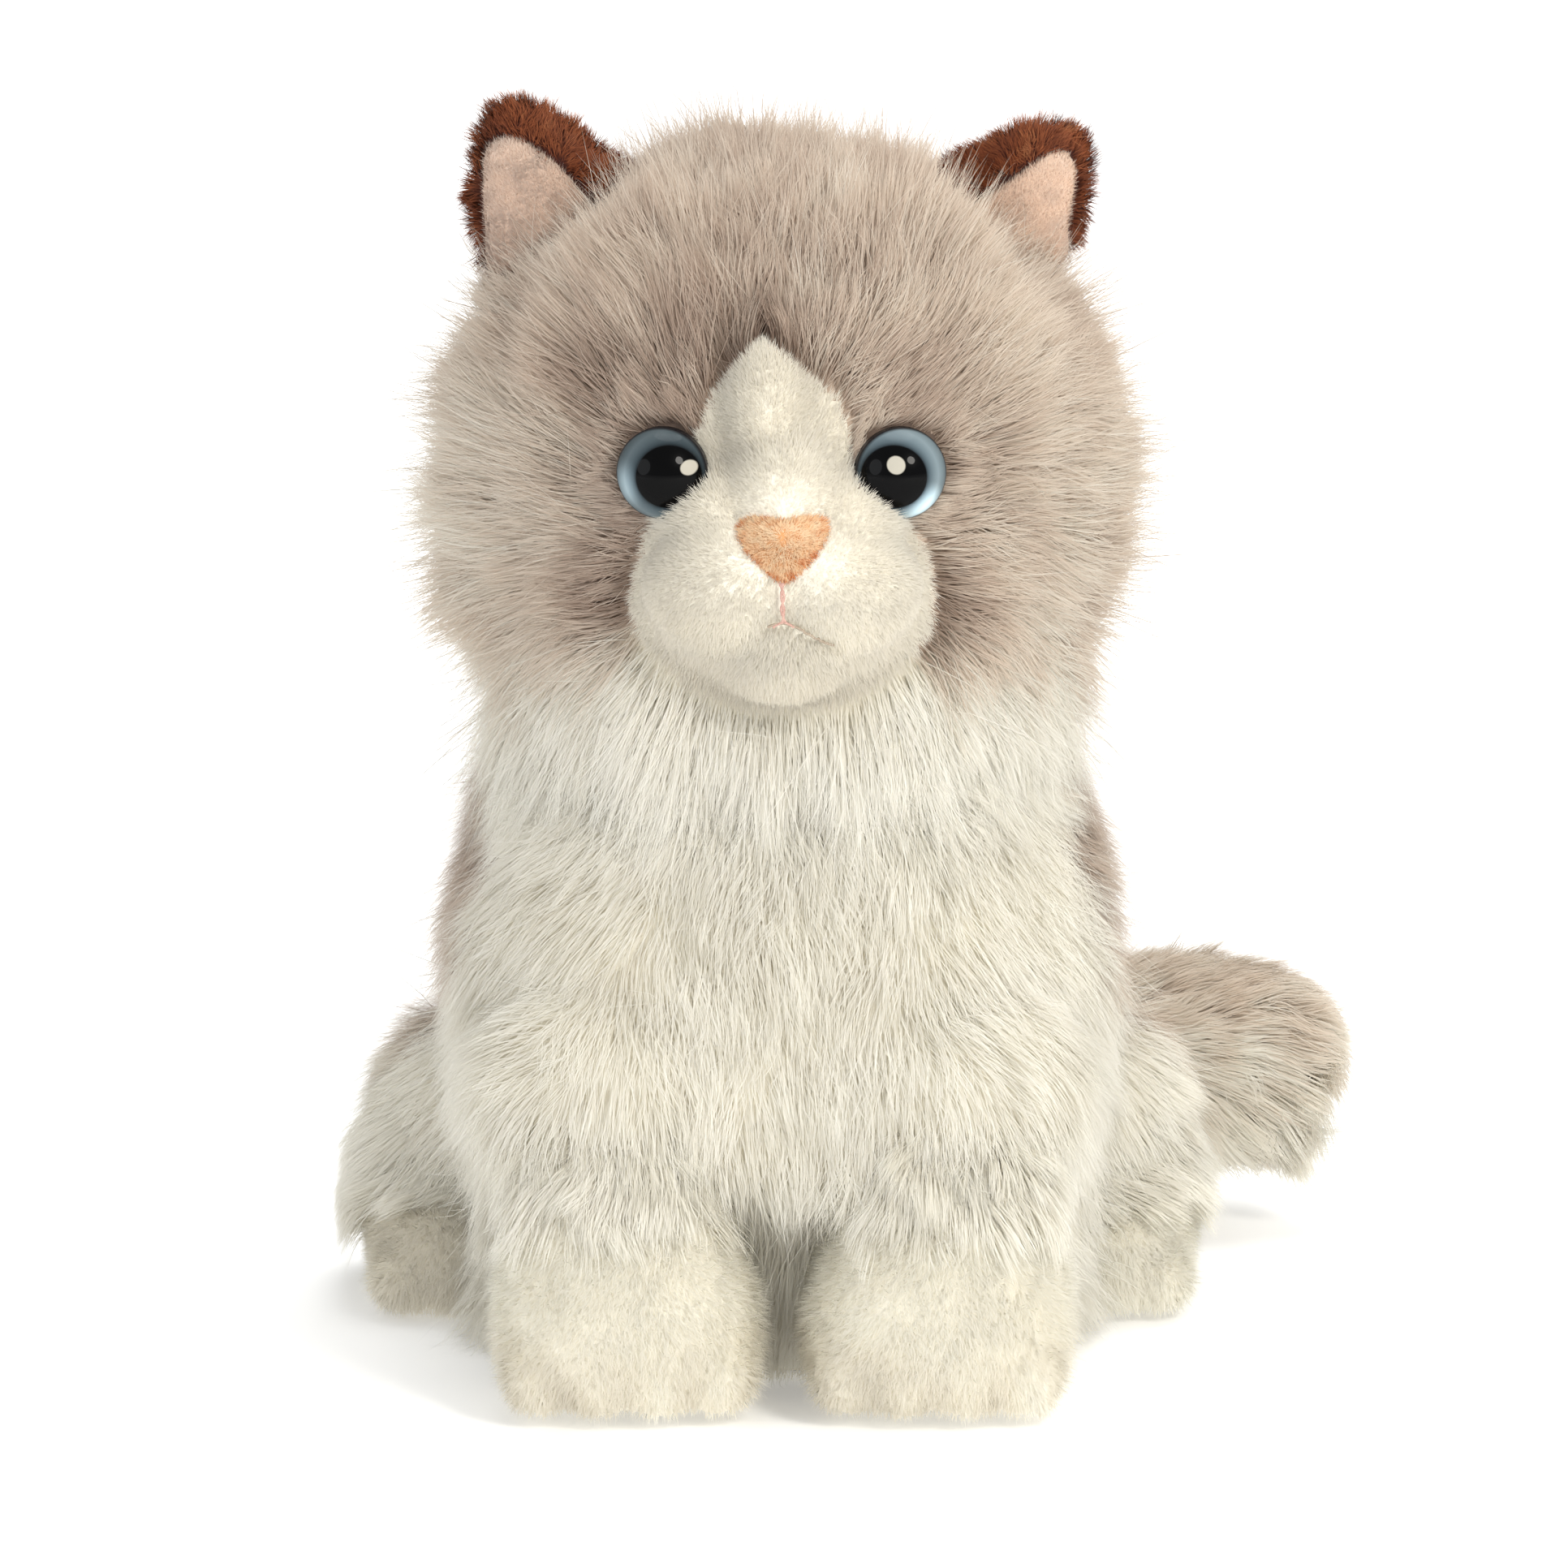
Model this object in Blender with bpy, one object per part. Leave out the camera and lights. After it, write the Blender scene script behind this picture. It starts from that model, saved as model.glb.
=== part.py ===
"""Seated plush kitten with a motorised head and tail, modelled for assembly.

Metres, +Z up. The kitten faces -Y and stands on Z = 0. The origin is on the
flat underside of the plastic base plate, straight below the neck axis.
Soft pieces are solid stuffed forms that reach out to the tips of the fur; the
plastic casings, gear trains, board, speaker and battery bay sit inside them.
"""
import math

import bmesh
import bpy
from mathutils import Matrix, Vector

for ob in list(bpy.data.objects):
    bpy.data.objects.remove(ob, do_unlink=True)

MM = 0.001

# ---- driving dimensions, millimetres -------------------------------------
GAP = 0.35            # kept between pieces that meet
NECK = (0.0, 0.0)     # neck axis
NECK_PLANE = 126.0    # top of the torso stuffing
HEAD_PLANE = 127.5    # underside of the head stuffing
HEAD_CY = -3.0        # middle of the head, front to back
EYE_X, EYE_Z = 22.7, 184.5
EYE_R = 9.0
EYE_TOE = 12.0        # each eye looks this far outwards, degrees
MUZZLE_C = (0.0, -45.0, 158.5)
MUZZLE_R = (29.0, 24.0, 19.5)
CASE_X = 40.0         # half width of the body casing
CASE_Y0, CASE_Y1 = -30.0, 72.0
CASE_TOP = 104.0
WALL = 2.0
DOOR_Y0, DOOR_Y1 = 5.4, 57.2
DOOR_X = 30.6
TAIL_AXIS = (20.0, 56.0)
TAIL_ARM_ANGLE = math.atan2(32.0, 26.0)
HEAD_GEAR_T, HEAD_PINION_T, HEAD_MODULE = 30, 10, 1.2
TAIL_GEAR_T, TAIL_PINION_T, TAIL_MODULE = 24, 10, 1.0

COLOURS = {
    "fur_taupe": ((0.47, 0.42, 0.35), 0.95, 0.0),
    "fur_cream": ((0.76, 0.72, 0.62), 0.95, 0.0),
    "pile_white": ((0.86, 0.82, 0.72), 0.9, 0.0),
    "ear_brown": ((0.11, 0.025, 0.012), 0.9, 0.0),
    "ear_pink": ((0.72, 0.52, 0.40), 0.9, 0.0),
    "nose_peach": ((0.83, 0.52, 0.29), 0.8, 0.0),
    "clear_plastic": ((0.75, 0.8, 0.82), 0.05, 0.0),
    "iris_blue": ((0.10, 0.16, 0.17), 0.25, 0.0),
    "white_plastic": ((0.75, 0.75, 0.73), 0.4, 0.0),
    "grey_plastic": ((0.35, 0.36, 0.38), 0.45, 0.0),
    "black_plastic": ((0.03, 0.03, 0.032), 0.4, 0.0),
    "gear_nylon": ((0.8, 0.78, 0.7), 0.35, 0.0),
    "steel": ((0.55, 0.55, 0.56), 0.25, 1.0),
    "brass": ((0.7, 0.5, 0.2), 0.3, 1.0),
    "board_green": ((0.02, 0.17, 0.07), 0.4, 0.0),
    "cell_wrap": ((0.05, 0.12, 0.2), 0.3, 0.0),
    "wire_red": ((0.5, 0.03, 0.02), 0.4, 0.0),
    "speaker_black": ((0.04, 0.04, 0.045), 0.6, 0.0),
}


def material(key):
    mat = bpy.data.materials.get(key)
    if mat is None:
        mat = bpy.data.materials.new(key)
        mat.use_nodes = True
        rgb, rough, metal = COLOURS[key]
        sh = mat.node_tree.nodes["Principled BSDF"]
        sh.inputs["Base Color"].default_value = (*rgb, 1.0)
        sh.inputs["Roughness"].default_value = rough
        sh.inputs["Metallic"].default_value = metal
    return mat


def make(name, bm, key=None, smooth=False):
    """A named object from a bmesh in millimetres; key None makes a cutter."""
    bmesh.ops.remove_doubles(bm, verts=bm.verts, dist=1e-5)
    bmesh.ops.recalc_face_normals(bm, faces=bm.faces)
    bmesh.ops.scale(bm, vec=(MM, MM, MM), verts=bm.verts)
    me = bpy.data.meshes.new(name)
    bm.to_mesh(me)
    bm.free()
    ob = bpy.data.objects.new(name, me)
    bpy.context.scene.collection.objects.link(ob)
    if key is None:
        as_tool(ob)
    else:
        me.materials.append(material(key))
    if smooth:
        me.shade_smooth()
        me.set_sharp_from_angle(angle=math.radians(40))
    return ob


def as_tool(ob):
    ob.hide_render = True
    ob.display_type = "WIRE"
    return ob


def boolean(ob, other, how):
    m = ob.modifiers.new(how.lower(), "BOOLEAN")
    m.operation = how
    m.solver = "EXACT"
    m.object = other
    return ob


def cut(ob, *tools):
    for t in tools:
        boolean(ob, t, "DIFFERENCE")
    return ob


def add(ob, *tools):
    for t in tools:
        as_tool(t)
        boolean(ob, t, "UNION")
    return ob


def frame_to(axis):
    """Rotation that takes +Z onto the given direction."""
    return Vector((0, 0, 1)).rotation_difference(Vector(axis).normalized()).to_matrix().to_4x4()


def loops_to_bm(loops, closed_ring=False):
    """Skin a list of equal-length loops; ends are capped unless it is a ring."""
    bm = bmesh.new()
    rows = [[bm.verts.new(p) for p in loop] for loop in loops]
    n = len(rows[0])
    pairs = list(zip(rows[:-1], rows[1:]))
    if closed_ring:
        pairs.append((rows[-1], rows[0]))
    for a, b in pairs:
        for i in range(n):
            j = (i + 1) % n
            bm.faces.new((a[i], a[j], b[j], b[i]))
    if not closed_ring:
        bm.faces.new(rows[0][::-1])
        bm.faces.new(rows[-1])
    return bm


def box(name, x0, x1, y0, y1, z0, z1, key=None, bevel=0.0):
    bm = loops_to_bm(
        [[(x0, y0, z), (x1, y0, z), (x1, y1, z), (x0, y1, z)] for z in (z0, z1)]
    )
    ob = make(name, bm, key)
    if bevel:
        m = ob.modifiers.new("bevel", "BEVEL")
        m.width = bevel * MM
        m.segments = 2
        m.limit_method = "ANGLE"
    return ob


def prism(name, pts, z0, z1, key=None, at=(0, 0, 0), axis=(0, 0, 1)):
    """Extrude a plane outline (u, v) along its axis from z0 to z1."""
    rot = Matrix.Translation(at) @ frame_to(axis)
    bm = loops_to_bm([[rot @ Vector((u, v, z)) for u, v in pts] for z in (z0, z1)])
    return make(name, bm, key)


def turned(name, prof, key=None, at=(0, 0, 0), axis=(0, 0, 1), segs=24, ring=False, smooth=True):
    """A lathe shape: prof is (radius, height) along the axis."""
    rot = Matrix.Translation(at) @ frame_to(axis)
    loops = []
    for r, h in prof:
        loops.append(
            [
                rot @ Vector((r * math.cos(2 * math.pi * i / segs), r * math.sin(2 * math.pi * i / segs), h))
                for i in range(segs)
            ]
        )
    return make(name, loops_to_bm(loops, ring), key, smooth)


def rod(name, r, z0, z1, key=None, at=(0, 0, 0), axis=(0, 0, 1), segs=20):
    return turned(name, [(r, z0), (r, z1)], key, at, axis, segs, smooth=False)


def lerp_table(table, z):
    """Smooth reading of a table of (z, value, value ...)."""
    if z <= table[0][0]:
        return table[0][1:]
    for lo, hi in zip(table[:-1], table[1:]):
        if z <= hi[0]:
            t = (z - lo[0]) / (hi[0] - lo[0])
            t = t * t * (3 - 2 * t) * 0.5 + t * 0.5
            return tuple(a + (b - a) * t for a, b in zip(lo[1:], hi[1:]))
    return table[-1][1:]


def egg_loops(table, zs, segs, grow=0.0, power=2.15, cy=0.0):
    """Horizontal rings: table rows are z, x centre, half width, front y, rear y."""
    loops = []
    for z in zs:
        cx, a, yf, yr = lerp_table(table, z)
        mid = cy if cy is not None else (yf + yr) / 2
        loop = []
        for i in range(segs):
            t = 2 * math.pi * i / segs
            c, s = math.cos(t), math.sin(t)
            e = 2 / power
            u = math.copysign(abs(c) ** e, c)
            v = math.copysign(abs(s) ** e, s)
            b = (yr - mid) if v > 0 else (mid - yf)
            loop.append((cx + (a + grow) * u, mid + (b + grow) * v, z))
        loops.append(loop)
    return loops


def egg(name, table, zs, key=None, segs=32, grow=0.0, power=2.15, cy=0.0):
    loops = egg_loops(table, zs, segs, grow, power, cy)
    if grow:
        loops[0] = [(x, y, z - grow) for x, y, z in loops[0]]
        loops[-1] = [(x, y, z + grow) for x, y, z in loops[-1]]
    return make(name, loops_to_bm(loops), key, smooth=key is not None)


def ellipsoid(name, c, r, key=None, segs=28, rings=16):
    loops = []
    for k in range(1, rings):
        a = math.pi * k / rings
        z = -math.cos(a)
        w = math.sin(a)
        loops.append(
            [
                (
                    c[0] + r[0] * w * math.cos(2 * math.pi * i / segs),
                    c[1] + r[1] * w * math.sin(2 * math.pi * i / segs),
                    c[2] + r[2] * z,
                )
                for i in range(segs)
            ]
        )
    return make(name, loops_to_bm(loops), key, smooth=key is not None)


def catmull(points, steps):
    out = []
    p = [points[0], *points, points[-1]]
    for i in range(1, len(p) - 2):
        for k in range(steps):
            t = k / steps
            row = []
            for a, b, c, d in zip(p[i - 1], p[i], p[i + 1], p[i + 2]):
                row.append(
                    0.5 * (2 * b + (c - a) * t + (2 * a - 5 * b + 4 * c - d) * t * t + (3 * b - a - 3 * c + d) * t**3)
                )
            out.append(tuple(row))
    out.append(tuple(points[-1]))
    return out


def tube_along(name, rows, key=None, segs=24, grow=0.0):
    """Round sections along a path; rows are x, y, z, radius."""
    loops = []
    for i, (x, y, z, r) in enumerate(rows):
        a = Vector(rows[max(i - 1, 0)][:3])
        b = Vector(rows[min(i + 1, len(rows) - 1)][:3])
        d = (b - a).normalized()
        side = d.cross(Vector((0, 0, 1))).normalized()
        up = side.cross(d)
        loops.append(
            [
                Vector((x, y, z))
                + (r + grow) * (math.cos(2 * math.pi * k / segs) * side + math.sin(2 * math.pi * k / segs) * up)
                for k in range(segs)
            ]
        )
    return make(name, loops_to_bm(loops), key, smooth=key is not None)


def wire(name, pts, r, key):
    """A flexible lead: a POLY curve read from a smooth route."""
    cu = bpy.data.curves.new(name, "CURVE")
    cu.dimensions = "3D"
    cu.bevel_depth = r * MM
    cu.bevel_resolution = 2
    cu.use_fill_caps = True
    route = catmull(pts, 3)
    sp = cu.splines.new("POLY")
    sp.points.add(len(route) - 1)
    for p, q in zip(sp.points, route):
        p.co = (q[0] * MM, q[1] * MM, q[2] * MM, 1)
    ob = bpy.data.objects.new(name, cu)
    bpy.context.scene.collection.objects.link(ob)
    cu.materials.append(material(key))
    return ob


def gear_outline(teeth, module, turn=0.0, backlash=0.22):
    """Involute teeth, 25 degree pressure angle, slightly short addendum."""
    pa = math.radians(25)
    rp = teeth * module / 2
    rb = rp * math.cos(pa)
    ra = rp + 0.85 * module
    rr = rp - 1.15 * module
    inv = lambda a: math.tan(a) - a
    half = math.pi / (2 * teeth) - backlash / (2 * rp)

    def psi(r):
        return half + inv(pa) - (inv(math.acos(rb / r)) if r > rb else 0.0)

    r0 = max(rb, rr)
    radii = [rr] + [r0 + (ra - r0) * k / 2 for k in range(3)]
    if rr >= rb:
        radii = radii[1:]
        radii[0] = rr
    else:
        radii = [rr, radii[1], radii[2], radii[3]]
    pts = []
    for t in range(teeth):
        mid = turn + 2 * math.pi * t / teeth
        side = [(r, psi(max(r, r0))) for r in radii]
        for r, a in side:
            pts.append((r * math.cos(mid - a), r * math.sin(mid - a)))
        for r, a in side[::-1]:
            pts.append((r * math.cos(mid + a), r * math.sin(mid + a)))
    return pts


def gear(name, teeth, module, at, z0, z1, bore, key, turn):
    g = prism(name, gear_outline(teeth, module, turn), z0, z1, key, at=(at[0], at[1], 0))
    if bore:
        cut(g, rod(name + "_bore", bore, z0 - 2, z1 + 2, None, at=(at[0], at[1], 0)))
    return g


# ---- head stuffing ---------------------------------------------------------
HEAD = [
    # z, x centre, half width, front y, rear y
    (127.5, 0, 57.0, -46, 42),
    (133, 0, 61.5, -50, 46),
    (141, 0, 64.5, -51.5, 48.5),
    (150, 0, 67.5, -53, 50),
    (160, 0, 70.0, -54, 51),
    (170, 0, 71.4, -54, 51.5),
    (180, 0, 71.2, -54, 51.5),
    (190, 0, 69.8, -53, 50.5),
    (200, 0, 66.8, -50.5, 48.5),
    (210, 0, 62.0, -46.5, 44.5),
    (220, 0, 54.5, -40.5, 38.5),
    (229, 0, 45.0, -34, 31.5),
    (236, 0, 34.5, -26.5, 23.5),
    (241.5, 0, 23.0, -18.5, 14.5),
    (245, 0, 10.0, -9.5, 4.5),
]
HEAD_Z = [127.5, 133, 141, 150, 160, 170, 180, 190, 200, 210, 220, 229, 236, 241.5, 245]
head = egg("head_plush", HEAD, HEAD_Z, "fur_taupe", segs=26, cy=HEAD_CY)
head_wide = egg("tool_head_wide", HEAD, HEAD_Z, None, segs=26, grow=GAP + 0.15, cy=HEAD_CY)

# hollow for the head casing, its neck flange and the pat button
hollow = ellipsoid("tool_head_hollow", (0, -5, 187), (47.0, 41.0, 45.0), None, 20, 12)
cut(
    head,
    hollow,
    rod("tool_head_throat", 26.0, 120, 152, None, segs=28),
    rod("tool_head_pat", 11.5, 225, 237.2, None, at=(0, -5, 0)),
)

# ---- muzzle, nose -----------------------------------------------------------
muzzle = cut(ellipsoid("muzzle_plush", MUZZLE_C, MUZZLE_R, "pile_white", 22, 12), head_wide)
muzzle_wide = ellipsoid(
    "tool_muzzle_wide", MUZZLE_C, tuple(r + GAP + 0.1 for r in MUZZLE_R), None, 22, 12
)
nose_outline = []
for i in range(18):
    t = 2 * math.pi * i / 18
    nose_outline.append(((8.4 + 1.4 * math.sin(t)) * math.cos(t), 6.4 * math.sin(t) + 0.6))
nose = prism("nose", nose_outline, 0, 5.6, "nose_peach", at=(0.2, -62.5, 171.5), axis=(0, -0.90, 0.436))
cut(nose, muzzle_wide, head_wide)

# ---- eyes -------------------------------------------------------------------
for side, sx in (("left", -1), ("right", 1)):
    toe = math.radians(EYE_TOE) * sx
    ax = Vector((math.sin(toe), -math.cos(toe), 0.03)).normalized()
    seat = Vector((EYE_X * sx, -47.3, EYE_Z))
    lens = turned(
        "eye_lens_" + side,
        [(EYE_R, 1.4), (EYE_R, 2.6), (8.5, 4.3), (7.4, 6.0), (5.6, 7.4), (3.4, 8.3), (1.2, 8.7)],
        "clear_plastic",
        seat,
        ax,
        20,
    )
    turned(
        "eye_iris_" + side,
        [(2.2, -17.5), (2.2, -0.4), (8.6, -0.4), (8.8, 0.2), (8.8, 1.0)],
        "iris_blue",
        seat,
        ax,
        18,
    )
    washer = turned(
        "eye_washer_" + side,
        [(2.6, -14.6), (7.0, -14.6), (7.0, -12.8), (2.6, -12.8)],
        "steel",
        seat,
        ax,
        14,
        ring=True,
    )
    pocket = turned(
        "tool_eye_pocket_" + side,
        [(3.0, -30), (3.0, -0.9), (EYE_R + 0.5, -0.9), (EYE_R + 0.5, 30)],
        None,
        seat,
        ax,
        24,
    )
    cut(head, pocket)

# ---- ears -------------------------------------------------------------------
EAR = [
    (22, 214), (25, 231), (32, 238), (41, 243.5), (50, 247.2), (57, 247.0), (61.5, 242.5),
    (62.6, 234), (61, 224), (57, 208), (40, 206),
]
EAR_IN = [
    (32, 214), (36, 231), (43, 237.5), (50, 241.6), (54.5, 241), (57.2, 236), (57.4, 228), (55, 210), (42, 208),
]
for side, sx, lift in (("left", -1, 4.6), ("right", 1, 0.0)):
    outline = [(p[0] * sx, -(p[1] + lift)) for p in EAR]
    inner = [(p[0] * sx, -(p[1] + lift)) for p in EAR_IN]
    # the outline lies in the X-Z plane: extruding along -Y maps (u, v) to (x, -z)
    for nm, pts, y0, y1, key in (
        ("ear_back_" + side, outline, -2.5, 4.0, "ear_brown"),
        ("ear_lining_" + side, inner, -5.2, -2.9, "ear_pink"),
    ):
        bm = loops_to_bm([[(u, y, -v) for u, v in pts] for y in (y0, y1)])
        ob = make(nm, bm, key)
        m = ob.modifiers.new("bevel", "BEVEL")
        m.width = (1.6 if "back" in nm else 0.7) * MM
        m.segments = 2
        m.limit_method = "ANGLE"
        m.angle_limit = math.radians(50)
        cut(ob, head_wide)

# ---- head casing, two half shells on a turned neck flange --------------------
shell_tool_in = ellipsoid("tool_shell_in", (0, -5, 187), (44.0, 38.0, 42.0), None, 20, 12)
for half, y0, y1 in (("front", -60, -5.15), ("rear", -4.85, 60)):
    shell = ellipsoid("head_casing_" + half, (0, -5, 187), (46.0, 40.0, 44.0), "white_plastic", 20, 12)
    keep = box("tool_keep_" + half, -60, 60, y0, y1, 147.6, 240)
    boolean(shell, keep, "INTERSECT")
    if half == "rear":
        add(shell, box("tool_shelf", -9, 9, -2, 27.9, 208.6, 210.8))
        trim = ellipsoid("tool_shell_core", (0, -5, 187), (44.0, 38.0, 42.0), None, 20, 12)
        # the shelf is joined after the shell has been emptied
        shell.modifiers.clear()
        boolean(shell, keep, "INTERSECT")
        cut(shell, trim)
        boolean(shell, bpy.data.objects["tool_shelf"], "UNION")
    else:
        cut(shell, shell_tool_in)
        for sx in (-1, 1):
            toe = math.radians(EYE_TOE) * sx
            ax = Vector((math.sin(toe), -math.cos(toe), 0.03))
            cut(
                shell,
                rod("tool_stem_%d" % (sx + 1), 2.9, -30, 0, None, at=(EYE_X * sx, -47.3, EYE_Z), axis=ax),
            )
    cut(shell, rod("tool_button_hole_" + half, 9.7, 215, 240, None, at=(0, -5, 0), segs=24))

turned(
    "pat_button",
    [(2.0, 226.2), (7.4, 226.2), (7.4, 224.8), (9.2, 224.8), (9.2, 233.4), (8.0, 235.0), (4.0, 235.6), (0.8, 235.7)][1:],
    "white_plastic",
    (0, -5, 0),
    (0, 0, 1),
    24,
)
# compression spring between the button and the switch board
coil = []
TURNS, COIL_R, WIRE_R = 4.0, 5.6, 0.45
for k in range(int(TURNS * 10) + 1):
    a = 2 * math.pi * k / 10
    coil.append((COIL_R * math.cos(a), -5 + COIL_R * math.sin(a), 213.3 + WIRE_R + (10.6) * k / (TURNS * 10)))
loops = []
for i, p in enumerate(coil):
    a = Vector(coil[max(i - 1, 0)])
    b = Vector(coil[min(i + 1, len(coil) - 1)])
    d = (b - a).normalized()
    out = Vector((p[0], p[1] + 5, 0)).normalized()
    up = d.cross(out).normalized()
    loops.append(
        [
            Vector(p) + WIRE_R * (math.cos(2 * math.pi * s / 5) * out + math.sin(2 * math.pi * s / 5) * up)
            for s in range(5)
        ]
    )
make("pat_spring", loops_to_bm(loops), "steel", smooth=True)
add(
    box("pat_switch", -9.5, 9.5, -14.5, 10, 211.2, 212.8, "board_green"),
    box("tool_tact", -3, 3, -8, -2, 212.5, 217.5),
)

# ---- neck -------------------------------------------------------------------
turned(
    "neck_shaft",
    [(4.0, 84.0), (8.0, 84.0), (8.0, 141.0), (14.0, 144.2), (24.0, 144.2), (24.0, 147.2), (4.0, 147.2)],
    "white_plastic",
    (0, 0, 0),
    (0, 0, 1),
    32,
    ring=True,
)
turned(
    "neck_bushing",
    [(8.25, 101.0), (9.6, 101.0), (9.6, 104.4), (12.0, 104.4), (12.0, 106.2), (8.25, 106.2)],
    "gear_nylon",
    (0, 0, 0),
    (0, 0, 1),
    32,
    ring=True,
)
HEAD_CD = (HEAD_GEAR_T + HEAD_PINION_T) * HEAD_MODULE / 2 + 0.12
gear(
    "head_gear", HEAD_GEAR_T, HEAD_MODULE, NECK, 92.5, 97.5, 8.35, "gear_nylon", math.pi / 2,
)
gear(
    "head_pinion", HEAD_PINION_T, HEAD_MODULE, (0, HEAD_CD), 91.6, 98.4, 1.35, "brass",
    -math.pi / 2 + math.pi / HEAD_PINION_T,
)
head_motor = rod("head_motor", 10.0, 62.0, 85.4, "steel", at=(0, HEAD_CD, 0), segs=24)
add(
    head_motor,
    rod("tool_hm_boss", 3.0, 85.0, 89.6, None, at=(0, HEAD_CD, 0), segs=16),
    rod("tool_hm_shaft", 1.0, 89.0, 99.0, None, at=(0, HEAD_CD, 0), segs=12),
)
bracket = box("head_bracket", -37.5, 37.5, -14, 37, 86.0, 88.4, "grey_plastic")
cut(
    bracket,
    rod("tool_hb_neck", 8.3, 80, 95, None, segs=36),
    rod("tool_hb_motor", 3.4, 80, 95, None, at=(0, HEAD_CD, 0), segs=16),
)

# ---- torso stuffing ----------------------------------------------------------
TORSO = [
    (0, 0, 57, -30, 80),
    (5, 0, 61.5, -34, 84),
    (18, 0, 64.5, -38, 86),
    (32, 0, 66, -50, 86),
    (42, 0, 67.5, -72, 86),
    (52, 0, 69, -77.5, 85),
    (64, 0, 69.8, -77.5, 82),
    (76, 0, 69.8, -75.5, 77.5),
    (88, 0, 69.4, -72, 71.5),
    (100, 0, 67.0, -66.5, 64.5),
    (112, 0, 63.5, -59, 57),
    (120, 0, 60.5, -52.5, 51.5),
    (126, 0, 56.5, -46.5, 46.5),
]
TORSO_Z = [r[0] for r in TORSO]
torso = egg("body_plush", TORSO, TORSO_Z, "fur_cream", segs=28, cy=8.0, power=2.6)

FRONT_LEG = [
    (0, 0, 22.5, -80, -38),
    (3, 0, 26.2, -84.5, -34.5),
    (9, 0, 27.4, -86, -33),
    (18, 0, 27.4, -85.5, -32.5),
    (28, 0, 26.4, -82.5, -32.5),
    (40, 0, 25.2, -79.5, -32.5),
    (52, 0, 23.0, -75.5, -34),
    (60, 0, 17.5, -70, -39),
    (64, 0, 8.0, -61, -48),
]
HIND_LEG = [
    (0, 0, 14.5, 7.5, 54),
    (3, 0, 18.5, 3.5, 59),
    (9, 0, 19.8, 2.0, 62),
    (18, 0, 20.4, 3.5, 63.5),
    (28, 0, 20.8, 10, 64),
    (38, 0, 20.2, 16, 63),
    (48, 0, 18.0, 21, 60),
    (56, 0, 13.0, 27, 54),
    (61, 0, 5.5, 35, 46),
]


def shifted(table, dx):
    return [(r[0], dx, r[2], r[3], r[4]) for r in table]


LEG_Z = [r[0] for r in FRONT_LEG]
HIND_Z = [r[0] for r in HIND_LEG]
for side, sx, fx in (("left", -1, -29.6), ("right", 1, 30.6)):
    egg("front_leg_" + side, shifted(FRONT_LEG, fx), LEG_Z, "pile_white", segs=18, cy=-58.0, power=2.3)
    egg("hind_leg_" + side, shifted(HIND_LEG, 66.0 * sx), HIND_Z, "fur_cream", segs=18, cy=34.0, power=2.2)
    cut(
        torso,
        egg("tool_fl_" + side, shifted(FRONT_LEG, fx), LEG_Z, None, segs=18, grow=GAP + 0.1, cy=-58.0, power=2.3),
        egg("tool_hl_" + side, shifted(HIND_LEG, 66.0 * sx), HIND_Z, None, segs=18, grow=GAP + 0.1, cy=34.0, power=2.2),
    )


def case_outline(off, floor):
    """Side view of the casing as (y, z), pushed inwards by off."""
    y0, y1, top = CASE_Y0 + off, CASE_Y1 - off, CASE_TOP - off
    return [
        (y0, floor), (y0, top - 10), (y0 + 3, top - 3), (y0 + 10, top),
        (34.0 - off * 0.4, top), (y1, 62.0 - off * 0.4), (y1, floor),
    ]


def case_block(name, off, floor, key=None):
    w = CASE_X - off
    c = 5.0
    pts = case_outline(off, floor)
    loops = []
    for x, inset in ((-w, c), (-w + c, 0.0), (w - c, 0.0), (w, c)):
        row = []
        for y, z in pts:
            yy = min(max(y, CASE_Y0 + off + inset), CASE_Y1 - off - inset)
            zz = z if z <= floor + 0.01 else z - inset * 0.6
            row.append((x, yy, zz))
        loops.append(row)
    return make(name, loops_to_bm(loops), key)


# hollow that takes the casing, open underneath, and the throat for the neck
cut(
    torso,
    case_block("tool_case_hollow", -0.8, -5.0),
    rod("tool_neck_hole", 13.0, 95, 140, None, segs=28),
    prism("tool_tail_slot", [(11, 69), (39.5, 69), (63, 100), (11, 100)], 32.4, 41.6),
)

# ---- body casing, two halves -------------------------------------------------
case_in = case_block("tool_case_in", WALL, 0.0)
posts = {"front": [(-34, -24), (34, -24)], "rear": [(-34, 66), (34, 66)]}
for half, y0, y1 in (("front", -40, 19.85), ("rear", 20.15, 90)):
    shell = case_block("casing_" + half, 0.0, 3.4, "white_plastic")
    boolean(shell, box("tool_case_keep_" + half, -50, 50, y0, y1, 0, 120), "INTERSECT")
    cut(shell, case_in)
    for i, (px, py) in enumerate(posts[half]):
        add(shell, rod("tool_post_%s_%d" % (half, i), 4.5, 3.4, 15, None, at=(px, py, 0), segs=16))
    if half == "front":
        for i, (px, pz) in enumerate(((-26, 45), (26, 45), (-26, 76), (26, 76))):
            add(
                shell,
                rod("tool_standoff_%d" % i, 2.6, 8.4, 29.0, None, at=(px, 0, pz), axis=(0, -1, 0), segs=12),
            )
        for i in range(5):
            z = 43 + i * 6
            cut(shell, box("tool_grille_%d" % i, -13, 13, -33, -27, z - 1.1, z + 1.1))
    for i, (px, py) in enumerate(posts[half]):
        cut(shell, rod("tool_post_hole_%s_%d" % (half, i), 1.8, 0, 13, None, at=(px, py, 0), segs=12))
    cut(shell, rod("tool_case_neck_" + half, 9.95, 96, 110, None, segs=36))
    if half == "rear":
        cut(shell, box("tool_tail_window", 12, 39, 66, 76, 33.0, 41.0))

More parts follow.
